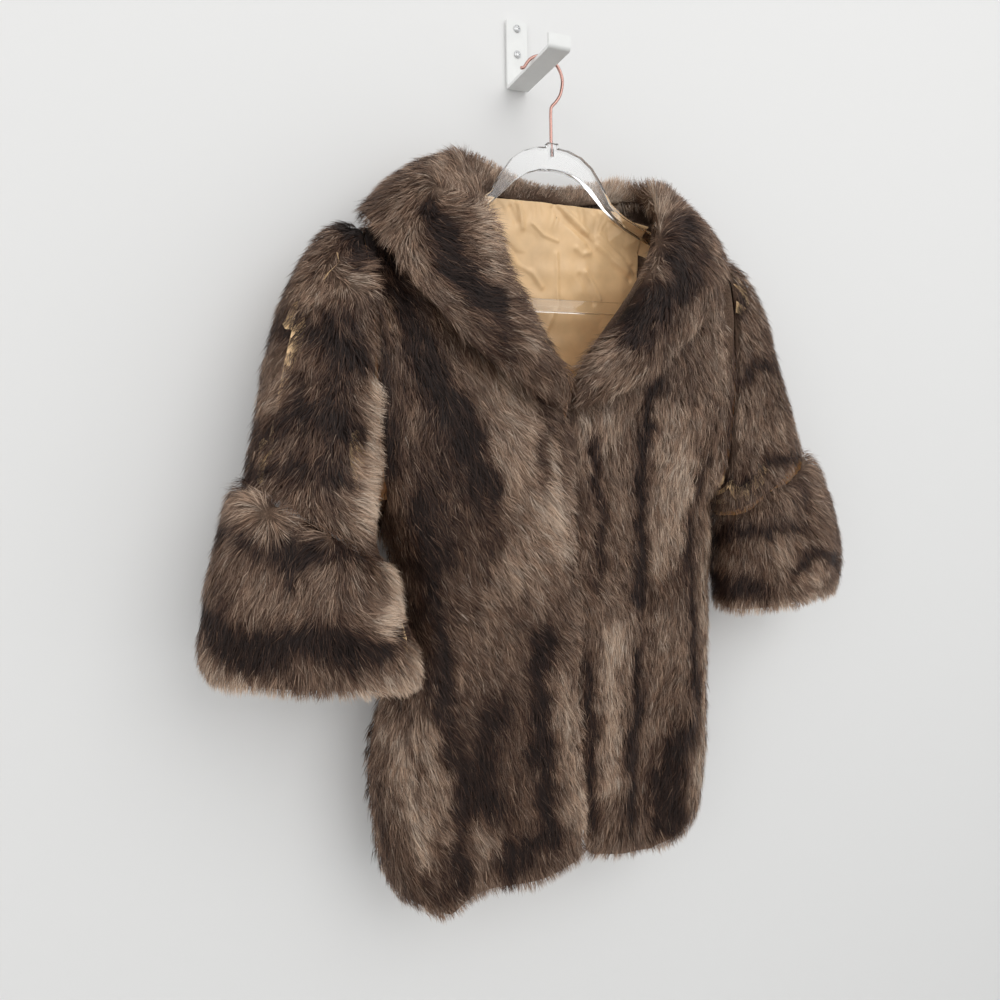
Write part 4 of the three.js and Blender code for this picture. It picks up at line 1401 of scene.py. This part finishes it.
class JACKET_OT_lining(bpy.types.Operator):
    """Makes the satin lining of the back, with its creases"""

    bl_idname = "jacket.lining"
    bl_label = "Back lining"

    def execute(self, context):
        trim = context.scene.jacket_trim
        lining = merged_copy("lining_back", "lining_satin")
        low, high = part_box("lining_back")
        fine_above = high.z - FINE_LINING
        work = bmesh.new()
        work.from_mesh(lining.data)
        behind = [face for face in work.faces if face.normal.y > -0.25]
        bmesh.ops.delete(work, geom=behind, context="FACES")
        for _ in range(8):
            long_edges = []
            for edge in work.edges:
                fine = max(v.co.z for v in edge.verts) > fine_above
                if edge.calc_length() > (FINE_EDGE if fine else COARSE_EDGE):
                    long_edges.append(edge)
            if not long_edges:
                break
            bmesh.ops.subdivide_edges(work, edges=long_edges, cuts=1)
            bmesh.ops.triangulate(work, faces=[f for f in work.faces if len(f.verts) > 3])
        work.to_mesh(lining.data)
        work.free()
        points = point_array(lining.data)
        middle, top = (low.x + high.x) / 2, high.z
        rise = np.zeros(len(points))
        for height, width, *path in LINING_CREASES:
            line = [(middle + x * MM, top + z * MM) for x, z in path]
            rise += height * MM * bell(line_distance(points[:, 0], points[:, 2], line), width)
        gather = np.exp(-np.abs(points[:, 2] - top + 8 * MM) / (9 * MM))
        rise += 0.5 * MM * gather * np.sin(points[:, 0] / (1.3 * MM) + 3 * ripple(points, 0.03, 41))
        rise += 0.7 * MM * ripple(points, 0.03, 42) + 1.0 * MM * ripple(points, 0.08, 43)
        points[:, 1] -= np.clip(rise * trim.crease + 1.2 * MM, 0, 4.5 * MM)
        move_points(lining.data, points)
        lining.data.materials.append(lining_satin("lining_satin", trim))
        apply_modifier(lining, "SOLIDIFY", thickness=LINING_THICKNESS, offset=-1.0)
        lining.data.shade_smooth()
        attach(lining, "root")
        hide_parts("lining_back")
        width, length, area = LINING_CUT
        return {"FINISHED"}


class JACKET_OT_hanger(bpy.types.Operator):
    """Finishes the clear hanger and its wire hook"""

    bl_idname = "jacket.hanger"
    bl_label = "Hanger"

    def execute(self, context):
        trim = context.scene.jacket_trim
        clear = clear_acrylic("clear_acrylic")
        make_hard_piece("hanger_body", "hanger_clear_body", clear, 0.9, 50)
        wire = plated_wire("rose_gold_wire", trim)
        make_hard_piece("hanger_hook", "hanger_wire_hook", wire)
        return {"FINISHED"}


class JACKET_OT_bracket(bpy.types.Operator):
    """Finishes the bent wall bracket and its two screws"""

    bl_idname = "jacket.bracket"
    bl_label = "Wall bracket"

    def execute(self, context):
        trim = context.scene.jacket_trim
        coat = powder_coat("white_powder_coat", trim)
        make_hard_piece("wall_bracket", "bracket_strip", coat, 0.5, 40)
        for node in ("screw_upper", "screw_lower"):
            zinc = zinc_steel("zinc_steel_" + node, trim)
            make_hard_piece(node, node + "_head", zinc, 0.12, 40)
        return {"FINISHED"}


ROOM_SIZE = 7.0
# Each lamp: its place, its width, and its power as a share of the window's.
LAMPS = {
    "window": ((0.6, -2.1, 0.85), 1.8, 1.0),
    "left": ((-1.6, -1.6, 0.2), 1.2, 0.35),
    "behind": ((-0.3, 1.8, 0.2), 1.5, 0.4),
}
LAMP_TARGET = Vector((0.0, -0.05, -0.42))
# The eye is 0.7 m from the wall, left of the jacket, turned right and a little down.
EYE_PLACE = (-0.3283, -0.6991, -0.3678)
EYE_TURN = (23.38, 6.23, -1.06)
EYE_LENS = 26.59


class JACKET_OT_room(bpy.types.Operator):
    """Makes the wall, the floor, the light and the camera"""

    bl_idname = "jacket.room"
    bl_label = "Room and camera"

    def execute(self, context):
        room = context.scene.jacket_room
        select_only()
        bpy.ops.mesh.primitive_plane_add(
            size=ROOM_SIZE, location=(0.0, 0.0015, 1.2), rotation=(math.radians(90), 0, 0)
        )
        wall = context.object
        wall.name = "room_wall"
        wall.data.materials.append(wall_paint("emulsion_wall", room))
        bpy.ops.mesh.primitive_plane_add(size=ROOM_SIZE, location=(0.0, -2.0, -2.0))
        floor = context.object
        floor.name = "room_floor"
        floor.data.materials.append(floor_paint("pale_screed", room))
        world = bpy.data.worlds.new("room_light")
        world.use_nodes = True
        sky = world.node_tree.nodes["Background"]
        sky.inputs["Color"].default_value = (0.985, 0.99, 1.0, 1.0)
        sky.inputs["Strength"].default_value = room.fill
        context.scene.world = world
        for name, (place, size, share) in LAMPS.items():
            lamp = bpy.data.lights.new(name, "AREA")
            lamp.energy = room.window * share
            lamp.size = size
            lamp.color = (1.0, 0.985, 0.965)
            light = bpy.data.objects.new(name, lamp)
            light.location = place
            aim = LAMP_TARGET - Vector(place)
            light.rotation_euler = aim.to_track_quat("-Z", "Y").to_euler()
            context.scene.collection.objects.link(light)
        heading, pitch, roll = map(math.radians, EYE_TURN)
        forward = Vector(
            (math.sin(heading) * math.cos(pitch), math.cos(heading) * math.cos(pitch), -math.sin(pitch))
        )
        right = Vector((math.cos(heading), -math.sin(heading), 0.0))
        up = right.cross(forward)
        right, up = (
            math.cos(roll) * right + math.sin(roll) * up, math.cos(roll) * up - math.sin(roll) * right
        )
        eye = bpy.data.cameras.new("eye")
        eye.lens = EYE_LENS
        eye.sensor_width = 36.0
        eye.clip_start = 0.01
        eye.dof.use_dof = False
        camera = bpy.data.objects.new("eye", eye)
        turn = Matrix((right, up, -forward)).transposed()
        camera.matrix_world = Matrix.Translation(EYE_PLACE) @ turn.to_4x4()
        context.scene.collection.objects.link(camera)
        context.scene.camera = camera
        context.scene.view_settings.view_transform = "Standard"
        context.scene.view_settings.look = "None"
        return {"FINISHED"}


class JACKET_PT_tools(bpy.types.Panel):
    """Lists the settings and the steps."""

    bl_label = "Fur jacket"
    bl_idname = "JACKET_PT_tools"
    bl_space_type = "VIEW_3D"
    bl_region_type = "UI"
    bl_category = "Fur jacket"

    def draw(self, context):
        layout = self.layout
        for group in ("jacket_fur", "jacket_trim", "jacket_room"):
            settings = getattr(context.scene, group)
            box = layout.box()
            for name in settings.__annotations__:
                box.prop(settings, name)
        for step in STEPS:
            layout.operator("jacket." + step)


STEPS = ("room", "bracket", "hanger", "lining", "body", "sleeves", "cuffs", "collar")
CLASSES = (
    JacketFurSettings,
    JacketTrimSettings,
    JacketRoomSettings,
    JACKET_OT_room,
    JACKET_OT_bracket,
    JACKET_OT_hanger,
    JACKET_OT_lining,
    JACKET_OT_body,
    JACKET_OT_sleeves,
    JACKET_OT_cuffs,
    JACKET_OT_collar,
    JACKET_PT_tools,
)


def register():
    for kind in CLASSES:
        bpy.utils.register_class(kind)
    bpy.types.Scene.jacket_fur = bpy.props.PointerProperty(type=JacketFurSettings)
    bpy.types.Scene.jacket_trim = bpy.props.PointerProperty(type=JacketTrimSettings)
    bpy.types.Scene.jacket_room = bpy.props.PointerProperty(type=JacketRoomSettings)


def unregister():
    del bpy.types.Scene.jacket_room
    del bpy.types.Scene.jacket_trim
    del bpy.types.Scene.jacket_fur
    for kind in reversed(CLASSES):
        bpy.utils.unregister_class(kind)


def main():
    """Makes everything in order."""
    register()
    for step in STEPS:
        getattr(bpy.ops.jacket, step)()


if __name__ == "__main__":
    main()
